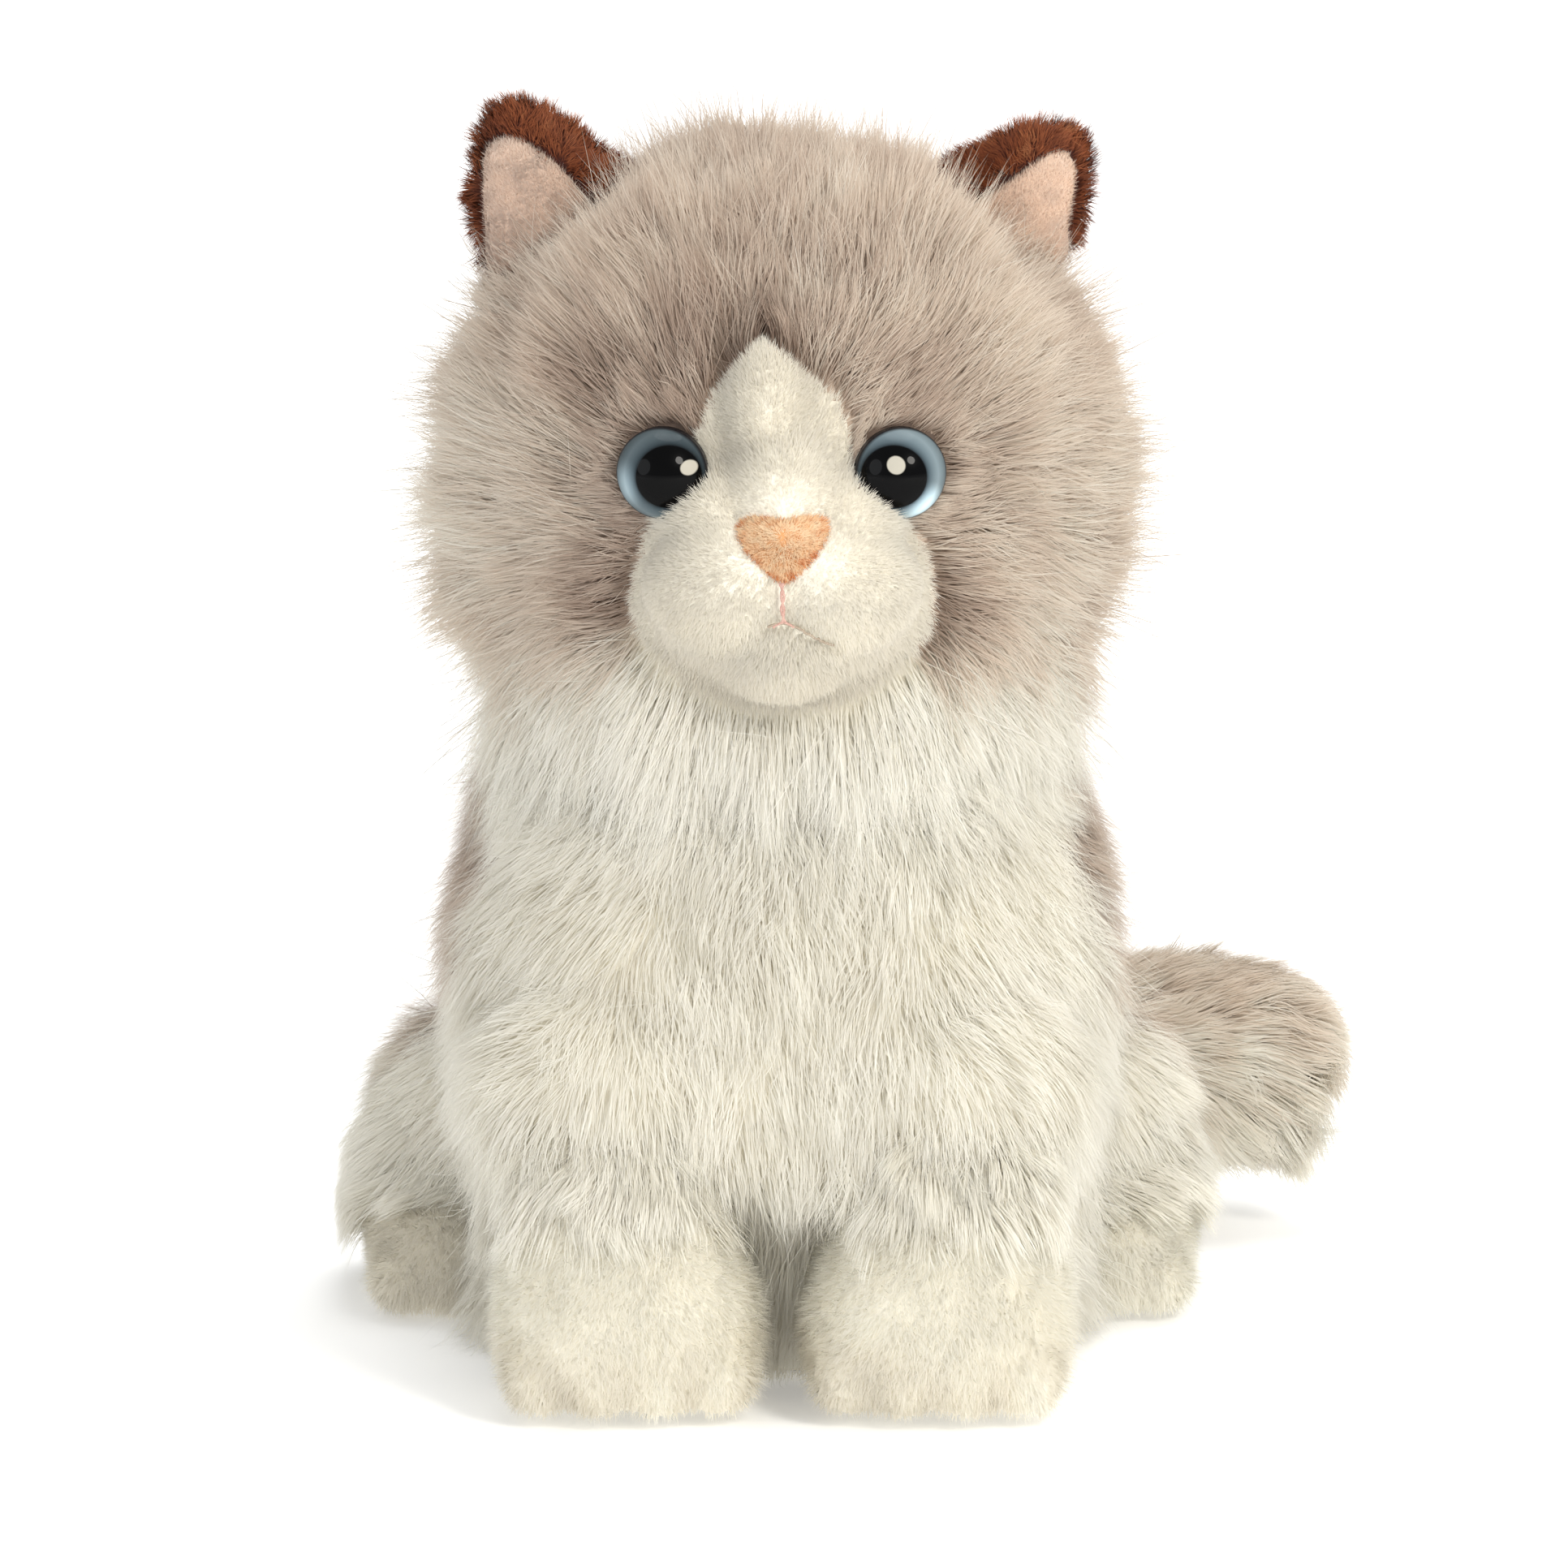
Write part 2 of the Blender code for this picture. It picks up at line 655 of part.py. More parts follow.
# ---- base plate ----------------------------------------------------------------
plate_pts = []
for cx, cy, a0 in ((30, 62, 0), (-30, 62, 90), (-30, -20, 180), (30, -20, 270)):
    for k in range(4):
        a = math.radians(a0 + 30 * k)
        plate_pts.append((cx + 10 * math.cos(a), cy + 10 * math.sin(a)))
plate = prism("base_plate", plate_pts, 0.0, 3.0, "grey_plastic")
cut(
    plate,
    box("tool_door_open", -31, 31, DOOR_Y0 - 0.4, DOOR_Y1 + 0.4, -2, 6),
    box("tool_tongue_open", -6.5, 6.5, DOOR_Y1 - 2, 66.0, -2, 6),
    box("tool_switch_open", -23.4, -12.6, -16.7, -11.3, -2, 6),
)
SCREWS = [(-34, -24), (34, -24), (-34, 66), (34, 66)]
for i, (px, py) in enumerate(SCREWS):
    # counterbore and clearance hole as one stepped tool
    cut(
        plate,
        turned(
            "tool_cbore_%d" % i, [(3.5, -2), (3.5, 1.9), (1.9, 1.9), (1.9, 5.0)], None, (px, py, 0), (0, 0, 1), 16,
        ),
    )
    screw = turned(
        "casing_screw_%d" % (i + 1),
        [(2.9, 0.4), (2.9, 1.5), (1.4, 1.5), (1.4, 12.0), (0.5, 12.8)],
        "steel", (px, py, 0), (0, 0, 1), 10, smooth=False,
    )
    # cross recess
    for j, (a, b) in enumerate(((2.0, 0.4), (0.4, 2.0))):
        cut(screw, box("tool_cross_%d_%d" % (i, j), px - a, px + a, py - b, py + b, -1, 1.0))

# ---- battery bay -----------------------------------------------------------------
bay = box("battery_box", -32.5, 32.5, 3.5, 58.6, 3.4, 23.6, "black_plastic")
cut(bay, box("tool_bay", -31, 31, 5.0, 57.1, 0, 22.1))
add(
    bay,
    box("tool_bay_boss", -6, 6, 58.0, 66.0, 3.4, 12.0),
    rod("tool_bay_bearing", 5.2, 22.8, 29.5, None, at=(*TAIL_AXIS, 0), segs=20),
)
cut(
    bay,
    rod("tool_bay_bore", 2.75, 25.0, 32.0, None, at=(*TAIL_AXIS, 0), segs=20),
    rod("tool_boss_bore", 2.1, 0.0, 9.0, None, at=(0, 61.6, 0), segs=14),
)
for k, y in enumerate((22.6, 39.4)):
    add(bay, box("tool_rib_%d" % k, -18, 18, y - 0.5, y + 0.5, 19.5, 22.6))

door = box("battery_door", -DOOR_X, DOOR_X, DOOR_Y0 + 1.0, DOOR_Y1, 0.6, 2.6, "grey_plastic")
add(
    door,
    rod("tool_door_roll", 1.0, -DOOR_X, DOOR_X, None, at=(0, DOOR_Y0 + 1.0, 1.6), axis=(1, 0, 0), segs=16),
    box("tool_tongue", -6.1, 6.1, DOOR_Y1 - 3, 65.6, 0.6, 2.6),
)
cut(
    door,
    turned("tool_door_cbore", [(3.3, -2), (3.3, 1.5), (1.9, 1.5), (1.9, 4)], None, (0, 61.6, 0), (0, 0, 1), 16),
    box("tool_finger", -9, 9, 50.4, 52.0, -1, 1.2),
    box("tool_finger_b", -9, 9, 47.4, 49.0, -1, 1.2),
)
door_screw = turned(
    "door_screw",
    [(2.8, 0.7), (2.8, 1.2), (1.3, 1.2), (1.3, 5.8), (0.5, 6.4)],
    "steel", (0, 61.6, 0), (0, 0, 1), 14, smooth=False,
)
cut(door_screw, box("tool_ds_slot", -2.2, 2.2, 61.2, 62.0, -1, 0.95))

for k, y in enumerate((14.0, 31.0, 48.0)):
    flip = -1 if k == 1 else 1
    turned(
        "battery_cell_%d" % (k + 1),
        [(6.0, -25.0), (7.0, -24.6), (7.1, 23.4), (6.2, 24.2), (2.7, 24.3), (2.6, 25.3)],
        "cell_wrap", (0, y, 10.7), (flip, 0, 0), 16,
    )
for side, sx in (("left", -1), ("right", 1)):
    strip = box("contact_plate_" + side, *sorted((sx * 28.4, sx * 28.9)), 8, 54, 5, 16.5, "brass")
    for k, y in enumerate((14.0, 31.0, 48.0)):
        add(
            strip,
            turned("tool_tip_%s_%d" % (side, k), [(3.2, 0.2), (2.2, -1.6), (1.0, -2.7)], None,
                   (sx * 28.4, y, 10.7), (sx, 0, 0), 10),
        )

# ---- power switch ------------------------------------------------------------------
sw = box("power_switch_body", -27.5, -8.5, -19.0, -9.0, 5.2, 11.0, "black_plastic")
cut(sw, box("tool_sw_well", -24.5, -11.5, -16.6, -11.4, 0, 8.6))
for k, x in enumerate((-24.0, -18.0, -12.0)):
    add(sw, box("tool_sw_leg_%d" % k, x - 0.5, x + 0.5, -14.5, -13.5, 10.8, 14.0))
knob = box("power_switch_knob", -22.6, -17.4, -16.1, -11.9, 0.7, 8.2, "black_plastic")
add(knob, box("tool_knob_flange", -25.0, -15.0, -17.6, -10.4, 3.5, 4.8))
for k in range(3):
    x = -21.4 + 1.4 * k
    cut(knob, box("tool_knob_rib_%d" % k, x - 0.3, x + 0.3, -18, -10, -1, 1.2))

# ---- tail drive ----------------------------------------------------------------------
ta = (*TAIL_AXIS, 0)
arm = rod("tail_arm", 2.5, 25.4, 60.0, "steel", at=ta, segs=20)
arm_dir = (math.cos(TAIL_ARM_ANGLE), math.sin(TAIL_ARM_ANGLE), 0)
add(
    arm,
    rod("tool_hub", 6.0, 32.0, 42.0, None, at=ta, segs=20),
    rod("tool_arm_rod", 3.0, 2.0, 54.0, None, at=(*TAIL_AXIS, 37.0), axis=arm_dir, segs=16),
)
TAIL_CD = (TAIL_GEAR_T + TAIL_PINION_T) * TAIL_MODULE / 2 + 0.12
PINION_AT = (TAIL_AXIS[0] - TAIL_CD, TAIL_AXIS[1])
gear("tail_gear", TAIL_GEAR_T, TAIL_MODULE, TAIL_AXIS, 46.0, 51.0, 2.85, "gear_nylon", math.pi)
gear("tail_pinion", TAIL_PINION_T, TAIL_MODULE, PINION_AT, 45.2, 51.8, 1.35, "brass", math.pi / TAIL_PINION_T)
tail_motor = rod("tail_motor", 8.4, 24.0, 41.5, "steel", at=(*PINION_AT, 0), segs=18)
add(
    tail_motor,
    rod("tool_tm_boss", 2.6, 41.0, 44.4, None, at=(*PINION_AT, 0), segs=16),
    rod("tool_tm_shaft", 1.0, 44.0, 52.4, None, at=(*PINION_AT, 0), segs=12),
)
tb = box("tail_bracket", -12.0, 37.6, 49.5, 62.0, 54.6, 57.4, "grey_plastic")
add(
    tb,
    box("tool_tb_leg_a", -12.0, -9.0, 49.5, 56.0, 24.0, 56.0),
    box("tool_tb_leg_b", 34.6, 37.6, 49.5, 56.0, 3.4, 56.0),
)
cut(tb, rod("tool_tb_bore", 2.8, 50, 62, None, at=ta, segs=20))

TAIL = [
    (45.0, 88.5, 37.0, 9.5), (51, 90.5, 36.5, 17.0), (60, 93, 35.5, 22.5), (74, 94.5, 35.2, 25.0),
    (88, 93.5, 37.0, 24.4), (99, 91, 40.5, 19.5), (107, 88.5, 44.0, 11.5), (111.5, 87.0, 46.0, 3.5),
]
tail = tube_along("tail_plush", catmull(TAIL, 2), "fur_taupe", segs=18)
cut(tail, rod("tool_tail_bore", 3.5, 20, 54.5, None, at=(*TAIL_AXIS, 37.0), axis=arm_dir, segs=16))

# ---- purr motor: a small can with an eccentric weight ----------------------------------
purr = rod("purr_motor", 6.0, -30.0, -16.0, "steel", at=(0, 34.0, 36.0), axis=(1, 0, 0), segs=20)
add(
    purr,
    box("tool_purr_foot", -28, -18, 29.5, 38.5, 24.0, 33.0),
    rod("tool_purr_shaft", 0.9, -36.9, -29.0, None, at=(0, 34.0, 36.0), axis=(1, 0, 0), segs=12),
)
half = [(6.4 * math.cos(math.pi * k / 10), -6.4 * math.sin(math.pi * k / 10)) for k in range(11)]
hub = [(2.2 * math.cos(math.pi * k / 6), 2.2 * math.sin(math.pi * k / 6)) for k in range(7)]
rim = half[::-1] + hub[1:-1]
rim = [(6.4, 0.0)] + [(2.2 * math.cos(math.pi * k / 6), 2.2 * math.sin(math.pi * k / 6)) for k in range(7)] + [
    (-6.4 * math.cos(math.pi * k / 10), -6.4 * math.sin(math.pi * k / 10)) for k in range(0, 10)
]
bm = loops_to_bm([[(x, 34.0 + u, 36.0 + v) for u, v in rim] for x in (-36.4, -31.6)])
weight = make("purr_weight", bm, "brass")
cut(weight, rod("tool_weight_bore", 1.3, -40, -28, None, at=(0, 34.0, 36.0), axis=(1, 0, 0), segs=14))

# ---- main board and speaker -------------------------------------------------------------
board = box("main_board", -31, 31, -8.0, -6.4, 28.0, 81.5, "board_green")
add(
    board,
    box("tool_chip_a", -9, 3, -6.6, -5.0, 50, 62),
    box("tool_chip_b", 10, 18, -6.6, -4.6, 36, 48),
    rod("tool_cap_a", 3.0, 6.0, 13.0, None, at=(-20, -12.5, 40), axis=(0, 1, 0), segs=14),
    box("tool_plug_a", 20, 28, -6.6, -1.0, 64, 72),
    box("tool_plug_b", -28, -20, -6.6, -1.0, 56, 64),
)
turned(
    "speaker",
    [(19.5, -27.5), (19.5, -25.4), (16.5, -24.0), (10.0, -17.0), (10.0, -10.4), (3.0, -10.4)],
    "speaker_black", (0, -0.1, 55), (0, 1, 0), 28,
)

# ---- leads -------------------------------------------------------------------------------
wire("wire_battery", [(24, 2.9, 18), (24, 0.5, 18.5), (24, -2.0, 24), (24, -3.4, 34), (24, -3.2, 50),
                      (24, -2.6, 60), (24, -2.4, 63.4)], 0.7, "wire_red")
wire("wire_motor", [(8.0, HEAD_CD, 61.5), (8.4, HEAD_CD - 0.5, 58), (13, 16, 55), (19, 6, 60), (24, 2.4, 66),
                    (24, 0.4, 68), (24, -0.5, 68)], 0.6, "wire_red")
wire("wire_pat", [(0, -10, 210.7), (0, -10.2, 206), (0, -9, 192), (0, -4.5, 170), (0, -0.8, 154), (0, 0, 138),
                  (0, 0, 112), (0, 0, 90)], 0.8, "wire_red")
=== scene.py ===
"""Looks for the seated plush kitten: sewn skins, grown fur, eyes, nose and studio."""
import math

import bmesh
import bpy
import numpy as np
from mathutils import Matrix, Vector, kdtree
from mathutils.bvhtree import BVHTree


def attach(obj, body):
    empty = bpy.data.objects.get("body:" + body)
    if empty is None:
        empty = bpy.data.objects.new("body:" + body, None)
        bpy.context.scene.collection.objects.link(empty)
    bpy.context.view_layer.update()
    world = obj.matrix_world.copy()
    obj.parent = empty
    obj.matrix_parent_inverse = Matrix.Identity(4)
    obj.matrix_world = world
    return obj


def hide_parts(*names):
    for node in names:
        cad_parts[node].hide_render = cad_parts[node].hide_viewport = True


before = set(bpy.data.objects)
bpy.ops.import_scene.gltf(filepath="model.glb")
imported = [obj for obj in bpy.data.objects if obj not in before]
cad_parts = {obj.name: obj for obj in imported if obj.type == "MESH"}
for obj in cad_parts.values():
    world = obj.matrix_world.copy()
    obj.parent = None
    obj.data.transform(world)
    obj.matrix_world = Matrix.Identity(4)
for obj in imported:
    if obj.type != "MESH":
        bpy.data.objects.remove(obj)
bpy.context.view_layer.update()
MM = 0.001
SHARE = 1.0
PITCH = math.radians(12.0)     # the camera looks down by this much
FRONT_Y = -86.0                # front of the front paws, millimetres


# ---------------------------------------------------------------- colours
def lin(r, g, b):
    out = []
    for c in (r, g, b):
        c /= 255.0
        out.append(c / 12.92 if c <= 0.04045 else ((c + 0.055) / 1.055) ** 2.4)
    return tuple(out) + (1.0,)


def nodes_of(name):
    mat = bpy.data.materials.new(name)
    mat.use_nodes = True
    nt = mat.node_tree
    return mat, nt, nt.nodes["Principled BSDF"], nt.nodes["Material Output"]


def ramp(nt, stops, interp="LINEAR"):
    n = nt.nodes.new("ShaderNodeValToRGB")
    n.color_ramp.interpolation = interp
    el = n.color_ramp.elements
    while len(el) > 1:
        el.remove(el[-1])
    el[0].position, el[0].color = stops[0]
    for p, c in stops[1:]:
        e = el.new(p)
        e.color = c
    return n


def fur_material(name, roots, tips, rough=0.7, translucent=0.4, sheen=0.15, rise=(0.0, 0.75)):
    """Colour from the FurTone map: u picks the tone, v runs from root to tip."""
    mat, nt, sh, out = nodes_of(name)
    uv = nt.nodes.new("ShaderNodeUVMap")
    uv.uv_map = "FurTone"
    sep = nt.nodes.new("ShaderNodeSeparateXYZ")
    nt.links.new(uv.outputs["UV"], sep.inputs[0])
    a = ramp(nt, roots)
    b = ramp(nt, tips)
    nt.links.new(sep.outputs["X"], a.inputs[0])
    nt.links.new(sep.outputs["X"], b.inputs[0])
    m = nt.nodes.new("ShaderNodeMapRange")
    m.inputs["From Min"].default_value = rise[0]
    m.inputs["From Max"].default_value = rise[1]
    m.interpolation_type = "SMOOTHSTEP"
    nt.links.new(sep.outputs["Y"], m.inputs["Value"])
    mix = nt.nodes.new("ShaderNodeMix")
    mix.data_type = "RGBA"
    nt.links.new(m.outputs[0], mix.inputs[0])
    nt.links.new(a.outputs[0], mix.inputs[6])
    nt.links.new(b.outputs[0], mix.inputs[7])
    nt.links.new(mix.outputs[2], sh.inputs["Base Color"])
    sh.inputs["Roughness"].default_value = rough
    sh.inputs["Specular IOR Level"].default_value = 0.25
    sh.inputs["Sheen Weight"].default_value = sheen
    sh.inputs["Sheen Roughness"].default_value = 0.4
    if translucent:
        tr = nt.nodes.new("ShaderNodeBsdfTranslucent")
        nt.links.new(mix.outputs[2], tr.inputs["Color"])
        ms = nt.nodes.new("ShaderNodeMixShader")
        ms.inputs[0].default_value = translucent
        nt.links.new(sh.outputs[0], ms.inputs[1])
        nt.links.new(tr.outputs[0], ms.inputs[2])
        nt.links.new(ms.outputs[0], out.inputs[0])
    return mat


def noisy(name, c0, c1, scale=60.0, rough=(0.5, 0.6), bump=0.0, bump_scale=900.0, metal=0.0, coat=0.0, detail=4.0, spec=0.5):
    """A moulded, metal or cloth surface with uneven colour, roughness and a fine grain."""
    mat, nt, sh, out = nodes_of(name)
    tc = nt.nodes.new("ShaderNodeTexCoord")
    nz = nt.nodes.new("ShaderNodeTexNoise")
    nz.inputs["Scale"].default_value = scale
    nz.inputs["Detail"].default_value = detail
    nt.links.new(tc.outputs["Object"], nz.inputs["Vector"])
    cr = ramp(nt, [(0.3, c0), (0.7, c1)])
    nt.links.new(nz.outputs["Fac"], cr.inputs[0])
    nt.links.new(cr.outputs[0], sh.inputs["Base Color"])
    rr = nt.nodes.new("ShaderNodeMapRange")
    rr.inputs["To Min"].default_value = rough[0]
    rr.inputs["To Max"].default_value = rough[1]
    nt.links.new(nz.outputs["Fac"], rr.inputs["Value"])
    nt.links.new(rr.outputs[0], sh.inputs["Roughness"])
    sh.inputs["Metallic"].default_value = metal
    sh.inputs["Specular IOR Level"].default_value = spec
    sh.inputs["Coat Weight"].default_value = coat
    sh.inputs["Coat Roughness"].default_value = 0.08
    if bump:
        nb = nt.nodes.new("ShaderNodeTexNoise")
        nb.inputs["Scale"].default_value = bump_scale
        nb.inputs["Detail"].default_value = 2.0
        nt.links.new(tc.outputs["Object"], nb.inputs["Vector"])
        bp = nt.nodes.new("ShaderNodeBump")
        bp.inputs["Strength"].default_value = bump
        bp.inputs["Distance"].default_value = 0.0002
        nt.links.new(nb.outputs["Fac"], bp.inputs["Height"])
        nt.links.new(bp.outputs[0], sh.inputs["Normal"])
    return mat


# ---------------------------------------------------------------- mesh help
def mesh_object(name, verts, faces, mat=None, smooth=True):
    me = bpy.data.meshes.new(name)
    me.from_pydata([tuple(v) for v in verts], [], faces)
    me.update()
    ob = bpy.data.objects.new(name, me)
    bpy.context.scene.collection.objects.link(ob)
    if mat:
        me.materials.append(mat)
    if smooth:
        me.shade_smooth()
    return ob


def lerp_rows(table, z):
    if z <= table[0][0]:
        return np.array(table[0][1:], float)
    for lo, hi in zip(table[:-1], table[1:]):
        if z <= hi[0]:
            t = (z - lo[0]) / (hi[0] - lo[0])
            return np.array(lo[1:], float) * (1 - t) + np.array(hi[1:], float) * t
    return np.array(table[-1][1:], float)


def egg(table, n_z, segs, cy, power=2.15):
    """Rings of a table of z, x centre, half width, front y, rear y; millimetres."""
    z0, z1 = table[0][0], table[-1][0]
    rows = []
    for k in range(n_z):
        t = k / (n_z - 1)
        z = z0 + (z1 - z0) * t
        cx, a, yf, yr = lerp_rows(table, z)
        th = np.linspace(0, 2 * math.pi, segs, endpoint=False)
        c, s = np.cos(th), np.sin(th)
        u = np.sign(c) * np.abs(c) ** (2 / power)
        v = np.sign(s) * np.abs(s) ** (2 / power)
        b = np.where(v > 0, yr - cy, cy - yf)
        rows.append(np.stack([cx + a * u, cy + b * v, np.full(segs, z)], 1))
    v = np.concatenate(rows)
    f = []
    for k in range(n_z - 1):
        for i in range(segs):
            j = (i + 1) % segs
            f.append((k * segs + i, k * segs + j, (k + 1) * segs + j, (k + 1) * segs + i))
    f.append(tuple(range(segs))[::-1])
    f.append(tuple((n_z - 1) * segs + i for i in range(segs)))
    return v, f


def ball(c, r, segs=28, rings=18, tilt=None):
    rows = []
    for k in range(1, rings):
        a = math.pi * k / rings
        th = np.linspace(0, 2 * math.pi, segs, endpoint=False)
        rows.append(
            np.stack([r[0] * math.sin(a) * np.cos(th), r[1] * math.sin(a) * np.sin(th), np.full(segs, -r[2] * math.cos(a))], 1)
        )
    v = np.concatenate(rows)
    if tilt is not None:
        v = v @ np.array(Matrix.Rotation(math.radians(tilt[1]), 3, tilt[0])).T
    v = v + np.array(c)
    f = []
    n = rings - 1
    for k in range(n - 1):
        for i in range(segs):
            j = (i + 1) % segs
            f.append((k * segs + i, k * segs + j, (k + 1) * segs + j, (k + 1) * segs + i))
    f.append(tuple(range(segs))[::-1])
    f.append(tuple((n - 1) * segs + i for i in range(segs)))
    return v, f


def inset(part, amount, level=None):
    """Move a shape inwards along its own normals; amount(points) in millimetres.
    level=(low, high) keeps the end rings at those heights."""
    v, f = part
    me = bpy.data.meshes.new("tmp")
    me.from_pydata([tuple(x) for x in v], [], f)
    me.update()
    nrm = np.zeros(len(v) * 3)
    me.vertices.foreach_get("normal", nrm)
    nrm = nrm.reshape(-1, 3)
    bpy.data.meshes.remove(me)
    amt = amount(v) if callable(amount) else np.full(len(v), float(amount))
    w = v - nrm * amt[:, None]
    for z, pick in zip(level or (), (v[:, 2] <= v[:, 2].min() + 0.01, v[:, 2] >= v[:, 2].max() - 0.01)):
        if z is not None:
            w[pick, 2] = z
            out = unit(v[pick, :2] - v[pick, :2].mean(0))
            w[pick, :2] = v[pick, :2] - out * amt[pick][:, None]
    return w, f


def fuse(name, parts, voxel=1.8, smooth=6, mat=None):
    """Several closed shapes made one: voxel remesh, then smoothing."""
    verts, faces, off = [], [], 0
    for v, f in parts:
        verts.append(v)
        faces += [tuple(i + off for i in q) for q in f]
        off += len(v)
    verts = np.concatenate(verts) * MM
    ob = mesh_object(name, verts, faces, mat)
    m = ob.modifiers.new("remesh", "REMESH")
    m.mode = "VOXEL"
    m.voxel_size = voxel * MM
    m.use_smooth_shade = True
    if smooth:
        s = ob.modifiers.new("smooth", "SMOOTH")
        s.factor = 0.5
        s.iterations = smooth
    return apply(ob)


def apply(ob):
    dg = bpy.context.evaluated_depsgraph_get()
    me = bpy.data.meshes.new_from_object(ob.evaluated_get(dg), depsgraph=dg)
    old = ob.data
    ob.modifiers.clear()
    ob.data = me
    me.name = ob.name
    if old.materials and not me.materials:
        me.materials.append(old.materials[0])
    me.shade_smooth()
    return ob


def fetch(ob):
    """Vertices (mm), unit normals and triangles of an object's mesh."""
    me = ob.data
    me.calc_loop_triangles()
    v = np.zeros(len(me.vertices) * 3)
    n = np.zeros(len(me.vertices) * 3)
    t = np.zeros(len(me.loop_triangles) * 3, dtype=np.int64)
    me.vertices.foreach_get("co", v)
    me.vertices.foreach_get("normal", n)
    me.loop_triangles.foreach_get("vertices", t)
    return v.reshape(-1, 3) / MM, n.reshape(-1, 3), t.reshape(-1, 3)


def unit(a):
    return a / np.maximum(np.linalg.norm(a, axis=-1, keepdims=True), 1e-9)


def smoothstep(x, a, b):
    t = np.clip((x - a) / (b - a), 0, 1)
    return t * t * (3 - 2 * t)


def waves(p, size, seed, octaves=10):
    """Smooth noise of about unit size made of seeded sine waves."""
    g = np.random.default_rng(seed)
    k = unit(g.normal(size=(octaves, 3))) * (2 * math.pi / size) * g.uniform(0.6, 1.7, (octaves, 1))
    ph = g.uniform(0, 2 * math.pi, octaves)
    return np.sin(p @ k.T + ph).sum(1) / math.sqrt(octaves / 2)


def rise(p):
    """Height in the front view of points in millimetres."""
    return p[:, 2] * math.cos(PITCH) + (p[:, 1] - FRONT_Y) * math.sin(PITCH)


# ---------------------------------------------------------------- fur
def roots(ob, n, rng, mask):
    v, nr, t = fetch(ob)
    tri = v[t]
    area = 0.5 * np.linalg.norm(np.cross(tri[:, 1] - tri[:, 0], tri[:, 2] - tri[:, 0]), axis=1)
    cen = tri.mean(1)
    cn = unit(nr[t].mean(1))
    w = area * np.clip(mask(cen, cn), 0, None)
    cum = np.cumsum(w)
    pick = np.searchsorted(cum, rng.uniform(0, cum[-1], n))
    pick = np.clip(pick, 0, len(t) - 1)
    r1, r2 = np.sqrt(rng.uniform(0, 1, n)), rng.uniform(0, 1, n)
    b = np.stack([1 - r1, r1 * (1 - r2), r1 * r2], 1)
    p = (tri[pick] * b[:, :, None]).sum(1)
    q = unit((nr[t[pick]] * b[:, :, None]).sum(1))
    return p, q


